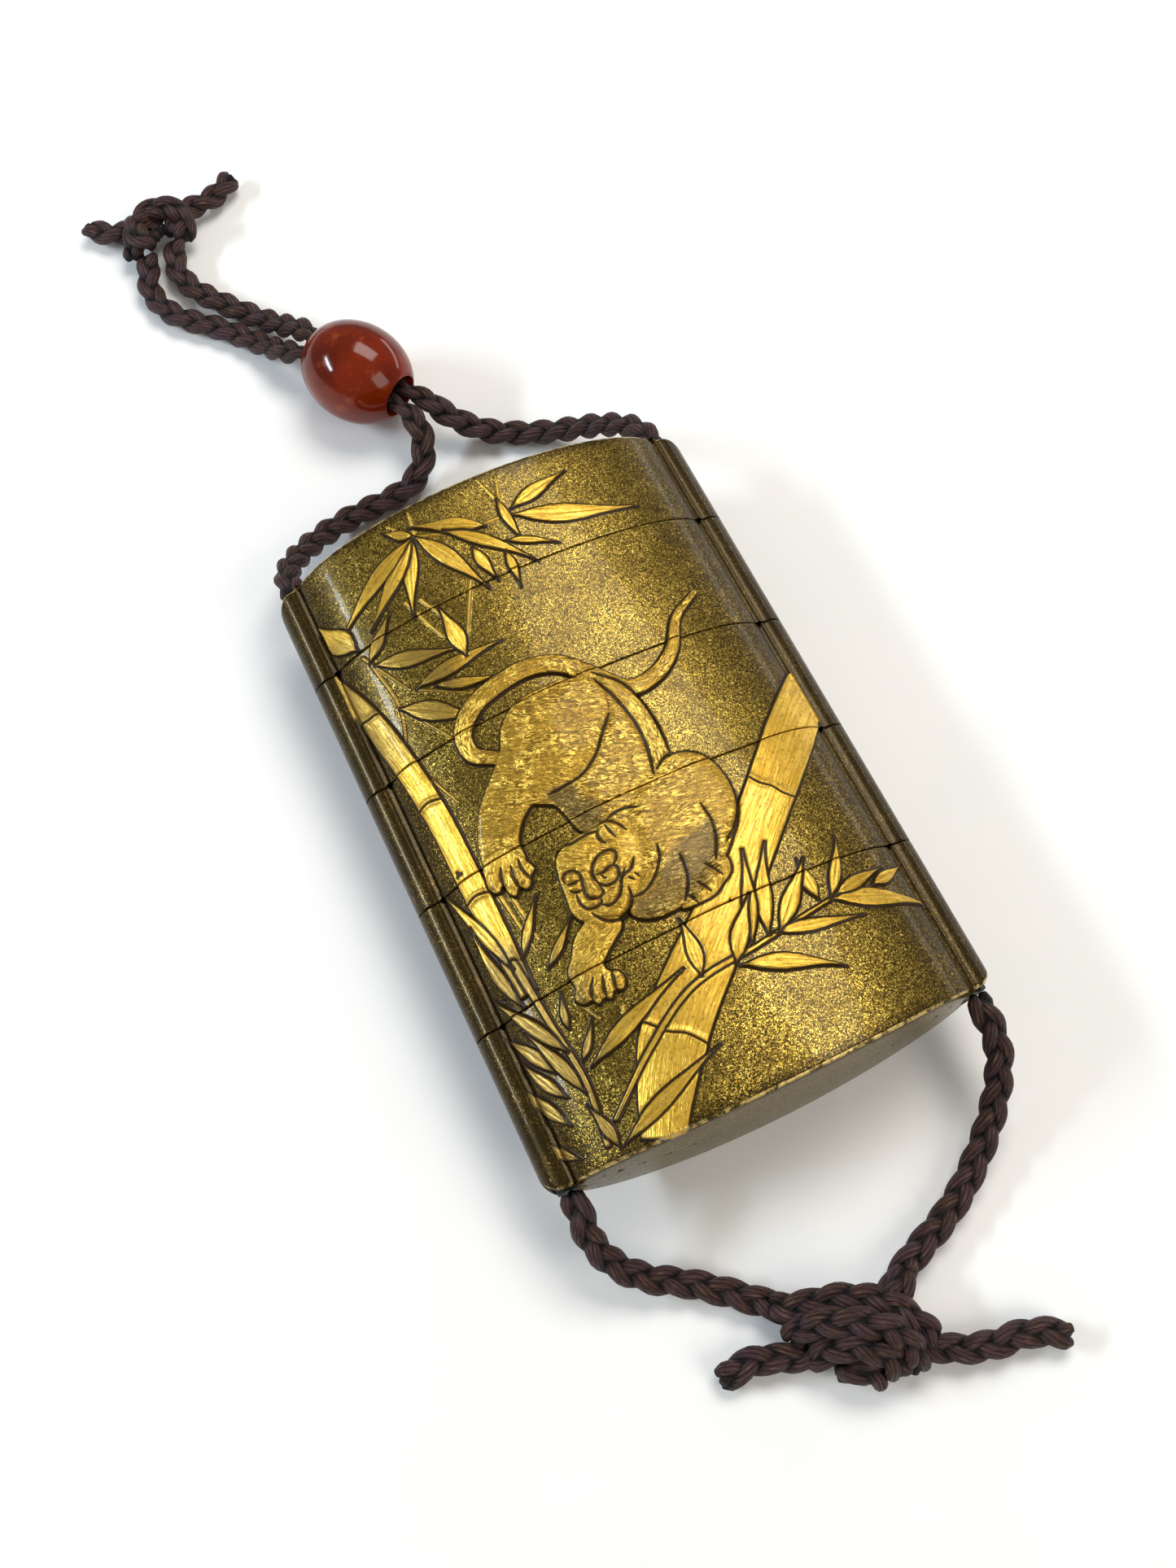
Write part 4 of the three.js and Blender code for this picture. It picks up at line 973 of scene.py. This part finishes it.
def cutChannels(obj):
    for side in (-1, 1):
        deselectAll()
        bpy.ops.mesh.primitive_cylinder_add(vertices=48, radius=case["channelDiameter"] / 2 * mm,
                                            depth=130 * mm, location=(side * channelX * mm, 0, midZ * mm),
                                            rotation=(math.pi / 2, 0, 0))
        cutter = bpy.context.active_object
        bpy.ops.object.transform_apply(location=True, rotation=True, scale=True)
        makeActive(obj)
        cut = obj.modifiers.new("channel", "BOOLEAN")
        cut.operation = "DIFFERENCE"
        cut.solver = "MANIFOLD"
        cut.object = cutter
        bpy.ops.object.modifier_apply(modifier=cut.name)
        bpy.data.objects.remove(cutter, do_unlink=True)


def storeValues(mesh, name, values):
    layer = mesh.attributes.new(name, "FLOAT", "POINT")
    layer.data.foreach_set("value", values.astype(np.float32))


def raisePicture(obj):
    mesh = obj.data
    count = len(mesh.vertices)
    place = np.zeros(count * 3, np.float32)
    mesh.vertices.foreach_get("co", place)
    p = place.reshape(-1, 3).astype(float) / mm
    x, y, z = p[:, 0], p[:, 1], p[:, 2] - midZ
    surface = lensHeight(x, case["frontCrown"], case["bodyHalf"])
    onFace = (z > 0.5) & (np.abs(z - surface) < 0.7) & (np.abs(x) < case["bodyHalf"] - 0.3)
    at = np.nonzero(onFace)[0]
    face = drawFace(x[at], y[at])
    power = case["roundness"]
    nx = np.sign(x[at]) * np.abs(x[at] / case["bodyHalf"]) ** (power - 1) / case["bodyHalf"]
    nz = np.clip(surface[at] / case["frontCrown"], 0.02, None) ** (power - 1) / case["frontCrown"]
    size = np.hypot(nx, nz)
    lift = face.height * smoothstep(crossFront[0] + 0.1, crossFront[0] - 0.9, np.abs(x[at]))
    p[at, 0] += lift * nx / size
    p[at, 2] += lift * nz / size
    for name in ("gold", "line", "fur", "greyAndShade", "along", "across"):
        values = np.zeros(count)
        values[at] = getattr(face, name)
        storeValues(mesh, name, values)
    side = np.where(np.abs(x) > crossFront[0], ribRadius - np.hypot(np.abs(x) - channelX, z),
                    np.minimum(lensHeight(x, case["frontCrown"], case["bodyHalf"]) - z,
                               lensHeight(x, case["backCrown"], case["bodyHalf"]) + z))
    ends = np.minimum(np.abs(endShape(x, z, True) - y), np.abs(y - endShape(x, z, False)))
    storeValues(mesh, "edge", np.exp(-((np.hypot(ends, side) - 0.15) / 0.3) ** 2))
    # The rib mask and the shoulder mask carry painted shade: the lacquer is darkened and its flakes
    # thinned on the ribs, toward the curving sides, and in a band along the ends and round the end faces
    storeValues(mesh, "rib", smoothstep(crossFront[0] - 0.5, crossFront[0] + 0.1, np.abs(x)))
    across = smoothstep(crossFront[0] - 9.5, crossFront[0] - 1.5, np.abs(x))
    endFace = smoothstep(0.5, 0.15, ends) * smoothstep(0.25, 0.6, side)
    shadeBand = smoothstep(2.2, 0.3, ends) * (1 - endFace) + smoothstep(2.2, 0.5, side) * endFace
    storeValues(mesh, "shoulder", np.maximum(across * (1 - endFace), shadeBand))
    storeValues(mesh, "endFace", endFace)
    mesh.vertices.foreach_set("co", (p * mm).astype(np.float32).ravel())
    mesh.update()


sectionNames = ["bottom_case", "lower_case", "middle_case", "upper_case", "lid"]
casePieces = []
for index, node in enumerate(sectionNames):
    points, faces = sectionMesh(index)
    if signedVolume(points, faces) < 0:
        faces = [f[::-1] for f in faces]
    section = makeMesh(node + "Lacquer", points, faces)
    cutChannels(section)
    raisePicture(section)
    makeActive(section)
    bpy.ops.object.shade_smooth()
    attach(section, "root")
    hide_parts(node)
    casePieces.append(section)
    print(node, "modelled,", len(section.data.polygons), "faces")


# The stone bead: a sphere drawn out, its poles opened and bridged into a bore
def addBead():
    deselectAll()
    radius = bead["diameter"] / 2
    reach = bead["length"] / 2
    bpy.ops.mesh.primitive_uv_sphere_add(segments=96, ring_count=96, radius=1)
    obj = bpy.context.active_object
    obj.name = obj.data.name = "beadStone"
    obj.scale = (radius * mm, radius * mm, reach * mm)
    bpy.ops.object.transform_apply(location=True, rotation=True, scale=True)
    limit = bead["bore"] / 2 * mm
    bpy.ops.object.mode_set(mode="EDIT")
    bpy.ops.mesh.select_all(action="DESELECT")
    bpy.ops.object.mode_set(mode="OBJECT")
    for v in obj.data.vertices:
        v.select = math.hypot(v.co.x, v.co.y) < limit
    bpy.ops.object.mode_set(mode="EDIT")
    bpy.ops.mesh.select_mode(type="VERT")
    bpy.ops.mesh.delete(type="VERT")
    bpy.ops.mesh.select_all(action="DESELECT")
    bpy.ops.mesh.select_non_manifold()
    bpy.ops.mesh.bridge_edge_loops(number_cuts=6)
    bpy.ops.mesh.select_all(action="SELECT")
    bpy.ops.mesh.normals_make_consistent(inside=False)
    bpy.ops.object.mode_set(mode="OBJECT")
    bevel = obj.modifiers.new("lip", "BEVEL")
    bevel.width = bead["lip"] * mm
    bevel.segments = 4
    bevel.limit_method = "ANGLE"
    bevel.angle_limit = math.radians(35)
    makeActive(obj)
    bpy.ops.object.modifier_apply(modifier="lip")
    bpy.ops.object.shade_smooth()
    turn = Vector((0, 0, 1)).rotation_difference(Vector(bead["axis"]))
    obj.matrix_world = Matrix.Translation(Vector(bead["centre"]) * mm) @ turn.to_matrix().to_4x4()
    bpy.ops.object.transform_apply(location=True, rotation=True, scale=True)
    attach(obj, "root")
    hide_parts("ojime_bead")
    return obj


beadStone = addBead()
print("bead modelled")


class Nodes:
    # Short ways to add and join shader nodes
    def __init__(self, name):
        self.material = bpy.data.materials.new(name)
        self.material.use_nodes = True
        self.tree = self.material.node_tree
        self.tree.nodes.clear()
        self.output = self.tree.nodes.new("ShaderNodeOutputMaterial")
        self.shader = self.tree.nodes.new("ShaderNodeBsdfPrincipled")
        self.tree.links.new(self.shader.outputs[0], self.output.inputs[0])
        self.coords = self.tree.nodes.new("ShaderNodeTexCoord").outputs["Object"]

    def add(self, kind, inputs=None, **settings):
        node = self.tree.nodes.new("ShaderNode" + kind)
        for key, value in settings.items():
            setattr(node, key, value)
        for key, value in (inputs or {}).items():
            self.put(node.inputs[key], value)
        return node

    def put(self, socket, value):
        if isinstance(value, bpy.types.NodeSocket):
            self.tree.links.new(value, socket)
        else:
            socket.default_value = value

    def math(self, operation, a, b=0.0, clamp=False):
        node = self.add("Math", operation=operation, use_clamp=clamp)
        for socket, value in zip(node.inputs, (a, b)):
            self.put(socket, value)
        return node.outputs[0]

    def vector(self, operation, a, b=(0, 0, 0), scale=None):
        node = self.add("VectorMath", operation=operation)
        self.put(node.inputs[0], a)
        if operation == "SCALE":
            self.put(node.inputs["Scale"], scale)
        else:
            self.put(node.inputs[1], b)
        return node.outputs[0]

    def value(self, name):
        return self.add("Attribute", attribute_name=name).outputs["Fac"]

    def noise(self, scale, detail=2.0, rough=0.5, at=None, distortion=0.0):
        node = self.add("TexNoise", {"Vector": at or self.coords, "Scale": scale, "Detail": detail,
                                     "Roughness": rough, "Distortion": distortion})
        return node.outputs["Fac"]

    def spread(self, value, low, high, to=(0.0, 1.0), smooth=True):
        kind = "SMOOTHSTEP" if smooth else "LINEAR"
        node = self.add("MapRange", interpolation_type=kind)
        keys = ("Value", "From Min", "From Max", "To Min", "To Max")
        for key, item in zip(keys, (value, low, high, *to)):
            self.put(node.inputs[key], item)
        return node.outputs["Result"]

    def mix(self, factor, a, b, blend="MIX"):
        node = self.add("Mix", data_type="RGBA", blend_type=blend)
        self.put(node.inputs["Factor"], factor)
        self.put(node.inputs["A"], a if isinstance(a, bpy.types.NodeSocket) else (*a, 1))
        self.put(node.inputs["B"], b if isinstance(b, bpy.types.NodeSocket) else (*b, 1))
        return node.outputs["Result"]

    def finish(self, **inputs):
        names = {"color": "Base Color", "rough": "Roughness", "metal": "Metallic", "normal": "Normal",
                 "coat": "Coat Weight", "coatRough": "Coat Roughness", "coatNormal": "Coat Normal",
                 "ior": "IOR",
                 "sheen": "Sheen Weight", "specular": "Specular IOR Level",
                 "subsurface": "Subsurface Weight", "subsurfaceScale": "Subsurface Scale"}
        for key, item in inputs.items():
            self.put(self.shader.inputs[names[key]], item)
        return self.material


lacquer = {
    "ground": (0.108, 0.069, 0.008),
    # dark ground: painted shade on the ribs and shoulders, and random mottle
    "groundDarkAndShade": (0.026, 0.016, 0.003),
    "flake": (0.62, 0.39, 0.036),
    "flakePale": (1.0, 0.76, 0.18),
    # brown flakes: random drifts, and painted shade on the shoulders and ribs
    "flakeBrownAndShade": (0.20, 0.115, 0.018),
    "relief": (0.54, 0.315, 0.031),
    # pale gold on the crests of the raised work: its own brushed grain, with a painted highlight
    "reliefPaleAndHighlight": (1.0, 0.69, 0.13),
    "furGround": (0.40, 0.235, 0.030),
    # painted shade on the end faces
    "endShade": (0.075, 0.048, 0.006),
    "crevice": (0.020, 0.009, 0.002),
    # grey of thin, worn gold, also used as painted shade along the left side
    "greyAndShade": (0.135, 0.103, 0.048),
    "worn": (0.62, 0.46, 0.17),
    "flakeSize": 0.26,
    "flakeWidth": 0.042,
    "flakeCover": 0.40,
    "flakeTilt": 1.3,
    "flakeEdge": 0.018,
    # flake thinning on the ribs and shoulders, as painted shade
    "ribShadeThinning": 0.012,
    "shoulderShadeThinning": 0.012,
    "driftBare": 0.06,
    "endFlakes": 0.02,
    "speck": (0.24, 0.12, 0.025),
    "furShade": (0.13, 0.075, 0.012),
    "strokeAlong": 0.22,
    "strokeAcross": 3.1,
    "furAlong": 0.8,
    "furAcross": 2.0,
    "greyAndShadeShare": 0.82,
    "endShadeShare": 0.7,
    "bump": 0.75,
    "bumpDepth": 0.0002,
    "ripple": 0.12,
    "coat": 0.12,
    "coatRough": 0.07,
    "specular": 0.14,
    "ior": 1.5,
}


def lacquerMaterial():
    n = Nodes("sprinkled gold lacquer")
    gold, line, fur = n.value("gold"), n.value("line"), n.value("fur")
    shoulder = n.value("shoulder")
    edge, rib, endFace, greyAndShade = n.value("edge"), n.value("rib"), n.value("endFace"), n.value("greyAndShade")
    along, across = n.value("along"), n.value("across")
    # Flakes: curled scraps with their own tilt and colour, denser in drifts
    scraps = n.add("TexNoise", {"Vector": n.coords, "Scale": 1000.0 / lacquer["flakeSize"], "Detail": 1.0,
                                "Roughness": 0.4, "Distortion": 0.9})
    chance = n.add("SeparateColor", {"Color": scraps.outputs["Color"]})
    drifts = n.noise(150.0, 3.0, 0.6)
    # Painted shade: flakes thinned on the ribs and shoulders; the drifts also thin them at random, and
    # the end faces get more
    thinningAndShade = n.math("ADD", n.math("MULTIPLY", rib, lacquer["ribShadeThinning"]),
                  n.math("MULTIPLY", shoulder, lacquer["shoulderShadeThinning"]))
    thinningAndShade = n.math("ADD", thinningAndShade, n.math("MULTIPLY", n.math("SUBTRACT", 0.5, drifts), lacquer["driftBare"]))
    thinningAndShade = n.math("SUBTRACT", thinningAndShade, n.math("MULTIPLY", endFace, lacquer["endFlakes"]))
    width = n.math("SUBTRACT", lacquer["flakeWidth"], thinningAndShade)
    curl = n.math("ABSOLUTE", n.math("SUBTRACT", chance.outputs["Red"], 0.5))
    scrap = n.spread(n.math("SUBTRACT", width, curl), 0.0, lacquer["flakeEdge"])
    flake = n.math("MULTIPLY", scrap, n.spread(chance.outputs["Green"], lacquer["flakeCover"], 0.47))
    tone = n.noise(5200.0, 1.0)
    flakeColor = n.mix(n.spread(tone, 0.35, 0.65), lacquer["flake"], lacquer["flakePale"])
    flakeColor = n.mix(n.spread(drifts, 0.35, 0.65, (0.25, 0.0)), flakeColor, lacquer["flakeBrownAndShade"])
    # Painted shade: flakes browned on the shoulders and ribs
    shadedSides = n.math("MAXIMUM", n.math("MULTIPLY", shoulder, 0.7), n.math("MULTIPLY", rib, 0.85))
    flakeColor = n.mix(shadedSides, flakeColor, lacquer["flakeBrownAndShade"])
    # Painted shade: the ground darkened on the ribs and shoulders; the mottle after it is the lacquer's
    # own random tone
    ground = n.mix(n.math("MAXIMUM", rib, shoulder), lacquer["ground"], lacquer["groundDarkAndShade"])
    mottle = n.spread(n.noise(2600.0, 2.0, 0.6), 0.4, 0.6, (0.75, 0.0))
    ground = n.mix(mottle, ground, lacquer["groundDarkAndShade"])
    color = n.mix(flake, ground, flakeColor)
    # Painted shade: the end faces darkened
    color = n.mix(n.math("MULTIPLY", endFace, lacquer["endShadeShare"]), color, lacquer["endShade"])
    # Raised work: brushed gold, paler along the crests of its strokes and fur curls: the gold's own
    # brushed grain, with a painted highlight on the crests
    strokeAt = n.add("CombineXYZ", {"X": n.math("MULTIPLY", along, lacquer["strokeAlong"]),
                                    "Y": n.math("MULTIPLY", across, lacquer["strokeAcross"])})
    strokes = n.noise(1.0, 3.0, 0.65, at=strokeAt.outputs[0])
    fine = n.noise(2300.0, 2.0, 0.6)
    furAt = n.add("CombineXYZ", {"X": n.math("MULTIPLY", along, lacquer["furAlong"]),
                                 "Y": n.math("MULTIPLY", across, lacquer["furAcross"])})
    clumps = n.spread(n.noise(260.0, 2.0, 0.5), 0.4, 0.56, (0.1, 1.0))
    curls = n.noise(1.0, 2.0, 0.55, at=furAt.outputs[0], distortion=1.6)
    patchy = n.noise(420.0, 3.0, 0.6)
    tufts = n.math("MULTIPLY", fur, clumps)
    paleAndHighlight = n.math("MULTIPLY", n.spread(strokes, 0.36, 0.66), n.spread(fur, 0.0, 1.0, (0.64, 0.2)))
    paleAndHighlight = n.math("ADD", paleAndHighlight, n.math("MULTIPLY", n.spread(curls, 0.5, 0.57), tufts))
    paleAndHighlight = n.math("MULTIPLY", paleAndHighlight, n.spread(patchy, 0.25, 0.7, (0.55, 1.1)), clamp=True)
    reliefColor = n.mix(fur, lacquer["relief"], lacquer["furGround"])
    reliefColor = n.mix(paleAndHighlight, reliefColor, lacquer["reliefPaleAndHighlight"])
    specks = n.spread(fine, 0.34, 0.46, (0.5, 0.0))
    reliefColor = n.mix(specks, reliefColor, lacquer["speck"])
    # Grey: thin, worn gold on the tiger, and painted shade on the relief along the left side
    reliefColor = n.mix(n.math("MULTIPLY", greyAndShade, lacquer["greyAndShadeShare"]), reliefColor, lacquer["greyAndShade"])
    furShade = n.math("MULTIPLY", tufts, n.spread(curls, 0.38, 0.48, (0.7, 0.0)))
    reliefColor = n.mix(furShade, reliefColor, lacquer["furShade"])
    color = n.mix(gold, color, reliefColor)
    dark = n.spread(line, 0.1, 0.6, (0.0, 0.96))
    color = n.mix(dark, color, lacquer["crevice"])
    rubbed = n.spread(n.noise(900.0, 3.0, 0.6), 0.36, 0.6)
    worn = n.math("MULTIPLY", n.spread(edge, 0.35, 0.8), rubbed)
    color = n.mix(n.math("MULTIPLY", worn, 0.9), color, lacquer["worn"])
    bright = n.math("MAXIMUM", n.math("MAXIMUM", flake, gold), 0.6)
    metal = n.math("MULTIPLY", bright, n.spread(dark, 0.0, 1.0, (0.9, 0.05)))
    metal = n.math("MULTIPLY", metal, n.spread(endFace, 0.0, 1.0, (1.0, 0.6)))
    flakeRough = n.spread(tone, 0.3, 0.7, (0.25, 0.42))
    goldRough = n.spread(strokes, 0.3, 0.7, (0.46, 0.3))
    rough = n.add("Mix", {"Factor": gold, "A": flakeRough, "B": goldRough}).outputs[0]
    # Tilt of each flake and the fine relief
    tilt = n.vector("SUBTRACT", scraps.outputs["Color"], (0.5, 0.5, 0.5))
    openGround = n.math("MULTIPLY", flake, n.math("SUBTRACT", 1.0, gold))
    tilt = n.vector("SCALE", tilt, scale=n.math("MULTIPLY", openGround, lacquer["flakeTilt"]))
    geometry = n.add("NewGeometry")
    normal = n.vector("NORMALIZE", n.vector("ADD", geometry.outputs["Normal"], tilt))
    grain = n.math("ADD", n.math("MULTIPLY", strokes, n.spread(fur, 0.0, 1.0, (1.0, 0.35))),
                   n.math("MULTIPLY", curls, n.math("MULTIPLY", fur, 2.2)))
    height = n.math("MULTIPLY", grain, gold)
    bump = n.add("Bump", {"Strength": lacquer["bump"], "Distance": lacquer["bumpDepth"], "Height": height,
                          "Normal": normal})
    soft = n.noise(300.0, 2.0, 0.5)
    coatBump = n.add("Bump", {"Strength": lacquer["ripple"], "Distance": lacquer["bumpDepth"],
                              "Height": soft})
    return n.finish(color=color, metal=metal, rough=rough, normal=bump.outputs[0], coat=lacquer["coat"],
                    coatRough=lacquer["coatRough"], coatNormal=coatBump.outputs[0], ior=lacquer["ior"],
                    specular=lacquer["specular"])


stone = {
    "deep": (0.080, 0.007, 0.001),
    "body": (0.17, 0.015, 0.002),
    "light": (0.30, 0.055, 0.009),
    "ior": 1.5,
    "specular": 0.3,
    "subsurface": 0.1,
    "subsurfaceScale": 0.003,
}


def stoneMaterial():
    n = Nodes("polished carnelian")
    clouds = n.noise(95.0, 4.0, 0.6, distortion=0.6)
    spots = n.noise(420.0, 3.0, 0.6)
    color = n.mix(n.spread(clouds, 0.34, 0.6), stone["deep"], stone["body"])
    color = n.mix(n.spread(spots, 0.55, 0.75, (0.0, 0.6)), color, stone["light"])
    scratches = n.add("Bump", {"Strength": 0.05, "Distance": 0.0001, "Height": n.noise(1600.0, 2.0)})
    rough = n.spread(spots, 0.3, 0.8, (0.09, 0.17))
    return n.finish(color=color, rough=rough, normal=scratches.outputs[0], ior=stone["ior"],
                    specular=stone["specular"], subsurface=stone["subsurface"],
                    subsurfaceScale=stone["subsurfaceScale"])


silk = {
    "dark": (0.014, 0.005, 0.005),
    "brown": (0.075, 0.033, 0.024),
    "violet": (0.052, 0.021, 0.034),
    # paler fibres: the silk's lighter threads, with a painted sheen on them
    "light": (0.30, 0.165, 0.115),
    # dark of the yarn gaps and the deep parts of the plait: painted shade
    "gap": (0.0015, 0.0008, 0.0008),
    "bump": 0.85,
    "bumpDepth": 0.00022,
    "sheen": 0.02,
    "specular": 0.28,
}


def silkMaterial():
    n = Nodes("braided silk")
    thread = n.add("Attribute", attribute_name="thread").outputs["Vector"]
    part = n.add("SeparateXYZ", {"Vector": thread})
    lay = cord["yarns"] / cord["yarnTwist"]
    twisted = n.math("ADD", n.math("MULTIPLY", part.outputs["X"], cord["yarns"]),
                     n.math("MULTIPLY", part.outputs["Y"], lay))
    yarn = n.math("ABSOLUTE", n.math("COSINE", n.math("MULTIPLY", twisted, math.pi)))
    finer = n.math("ABSOLUTE", n.math("COSINE", n.math("MULTIPLY", twisted, 3 * math.pi)))
    fibreAt = n.add("CombineXYZ", {"X": n.math("MULTIPLY", twisted, 3.3),
                                   "Y": n.math("MULTIPLY", part.outputs["Y"], 0.8)})
    fibres = n.noise(1.0, 3.0, 0.7, at=fibreAt.outputs[0])
    slow = n.noise(240.0, 3.0, 0.6)
    color = n.mix(n.spread(fibres, 0.34, 0.62), silk["dark"], silk["brown"])
    color = n.mix(n.spread(slow, 0.42, 0.64, (0.0, 0.75)), color, silk["violet"])
    # Lighter fibres: the silk's paler threads, with a painted sheen
    color = n.mix(n.spread(fibres, 0.55, 0.76, (0.0, 0.75)), color, silk["light"])
    # Painted shade: dark between the yarns and deep in the plait
    color = n.mix(n.spread(yarn, 0.05, 0.5, (0.7, 0.0)), color, silk["gap"])
    color = n.mix(n.spread(part.outputs["Z"], 0.62, 0.9, (0.94, 0.0)), color, silk["gap"])
    height = n.math("ADD", n.math("MULTIPLY", yarn, 0.8), n.math("MULTIPLY", fibres, 0.6))
    height = n.math("ADD", height, n.math("MULTIPLY", finer, 0.25))
    bump = n.add("Bump", {"Strength": silk["bump"], "Distance": silk["bumpDepth"], "Height": height})
    rough = n.spread(fibres, 0.3, 0.8, (0.6, 0.36))
    return n.finish(color=color, rough=rough, normal=bump.outputs[0], sheen=silk["sheen"],
                    specular=silk["specular"])


def dress(obj, material):
    obj.data.materials.clear()
    obj.data.materials.append(material)
    for polygon in obj.data.polygons:
        polygon.material_index = 0


lacquerLook, stoneLook, silkLook = lacquerMaterial(), stoneMaterial(), silkMaterial()
for piece in casePieces:
    dress(piece, lacquerLook)
dress(beadStone, stoneLook)
for piece in cordPieces:
    dress(piece, silkLook)
nodeLooks = {"bottom_case": lacquerLook, "lower_case": lacquerLook, "middle_case": lacquerLook,
             "upper_case": lacquerLook, "lid": lacquerLook, "ojime_bead": stoneLook}
for name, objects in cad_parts.items():
    for obj in objects if isinstance(objects, (list, tuple)) else [objects]:
        for slot in obj.material_slots:
            slot.material = nodeLooks.get(name, silkLook)
print("materials set")


# A pale floor and the lights of a small studio
paper = {"cool": (0.85, 0.868, 0.89), "light": (0.88, 0.89, 0.91),
         "rough": 0.85, "specular": 0.2, "size": 4}
# place and target in metres, size across and along, power in watts, colour
lights = {
    "overhead softbox": ((0.20, 0.19, 0.52), (0, 0, 0.01), (0.34, 0.26), 2.14, (1.0, 0.95, 0.87)),
    "cool window": ((-0.54, 0.25, 0.38), (-0.02, 0.0, 0.01), (0.30, 0.05), 2.7, (0.80, 0.91, 1.0)),
    "right strip": ((0.56, 0.22, 0.11), (0.02, 0, 0.015), (0.5, 0.06), 0.5, (1.0, 0.98, 0.95)),
    "front fill": ((0.25, -0.50, 0.45), (0, 0, 0.01), (0.4, 0.4), 1.9, (1.0, 0.93, 0.80)),
}
studio = {"color": (1.0, 0.97, 0.92, 1), "strength": 0.28}


def addFloor():
    deselectAll()
    bpy.ops.mesh.primitive_plane_add(size=paper["size"], location=(0, 0, 0))
    floor = bpy.context.active_object
    floor.name = "floor"
    n = Nodes("pale paper floor")
    color = n.mix(n.spread(n.noise(40.0, 3.0), 0.3, 0.7), paper["cool"], paper["light"])
    n.finish(color=color, rough=paper["rough"], specular=paper["specular"])
    floor.data.materials.append(n.material)


def addLight(name, place, target, size, power, color):
    data = bpy.data.lights.new(name, "AREA")
    data.shape = "RECTANGLE"
    data.size, data.size_y = size
    data.energy = power
    data.color = color
    obj = bpy.data.objects.new(name, data)
    direction = Vector(target) - Vector(place)
    obj.matrix_world = Matrix.Translation(place) @ direction.to_track_quat("-Z", "Y").to_matrix().to_4x4()
    bpy.context.scene.collection.objects.link(obj)


addFloor()
for name, settings in lights.items():
    addLight(name, *settings)
world = bpy.data.worlds.new("studio")
world.use_nodes = True
world.node_tree.nodes["Background"].inputs[0].default_value = studio["color"]
world.node_tree.nodes["Background"].inputs[1].default_value = studio["strength"]
bpy.context.scene.world = world
bpy.context.scene.view_settings.view_transform = "Standard"
print("lights placed")
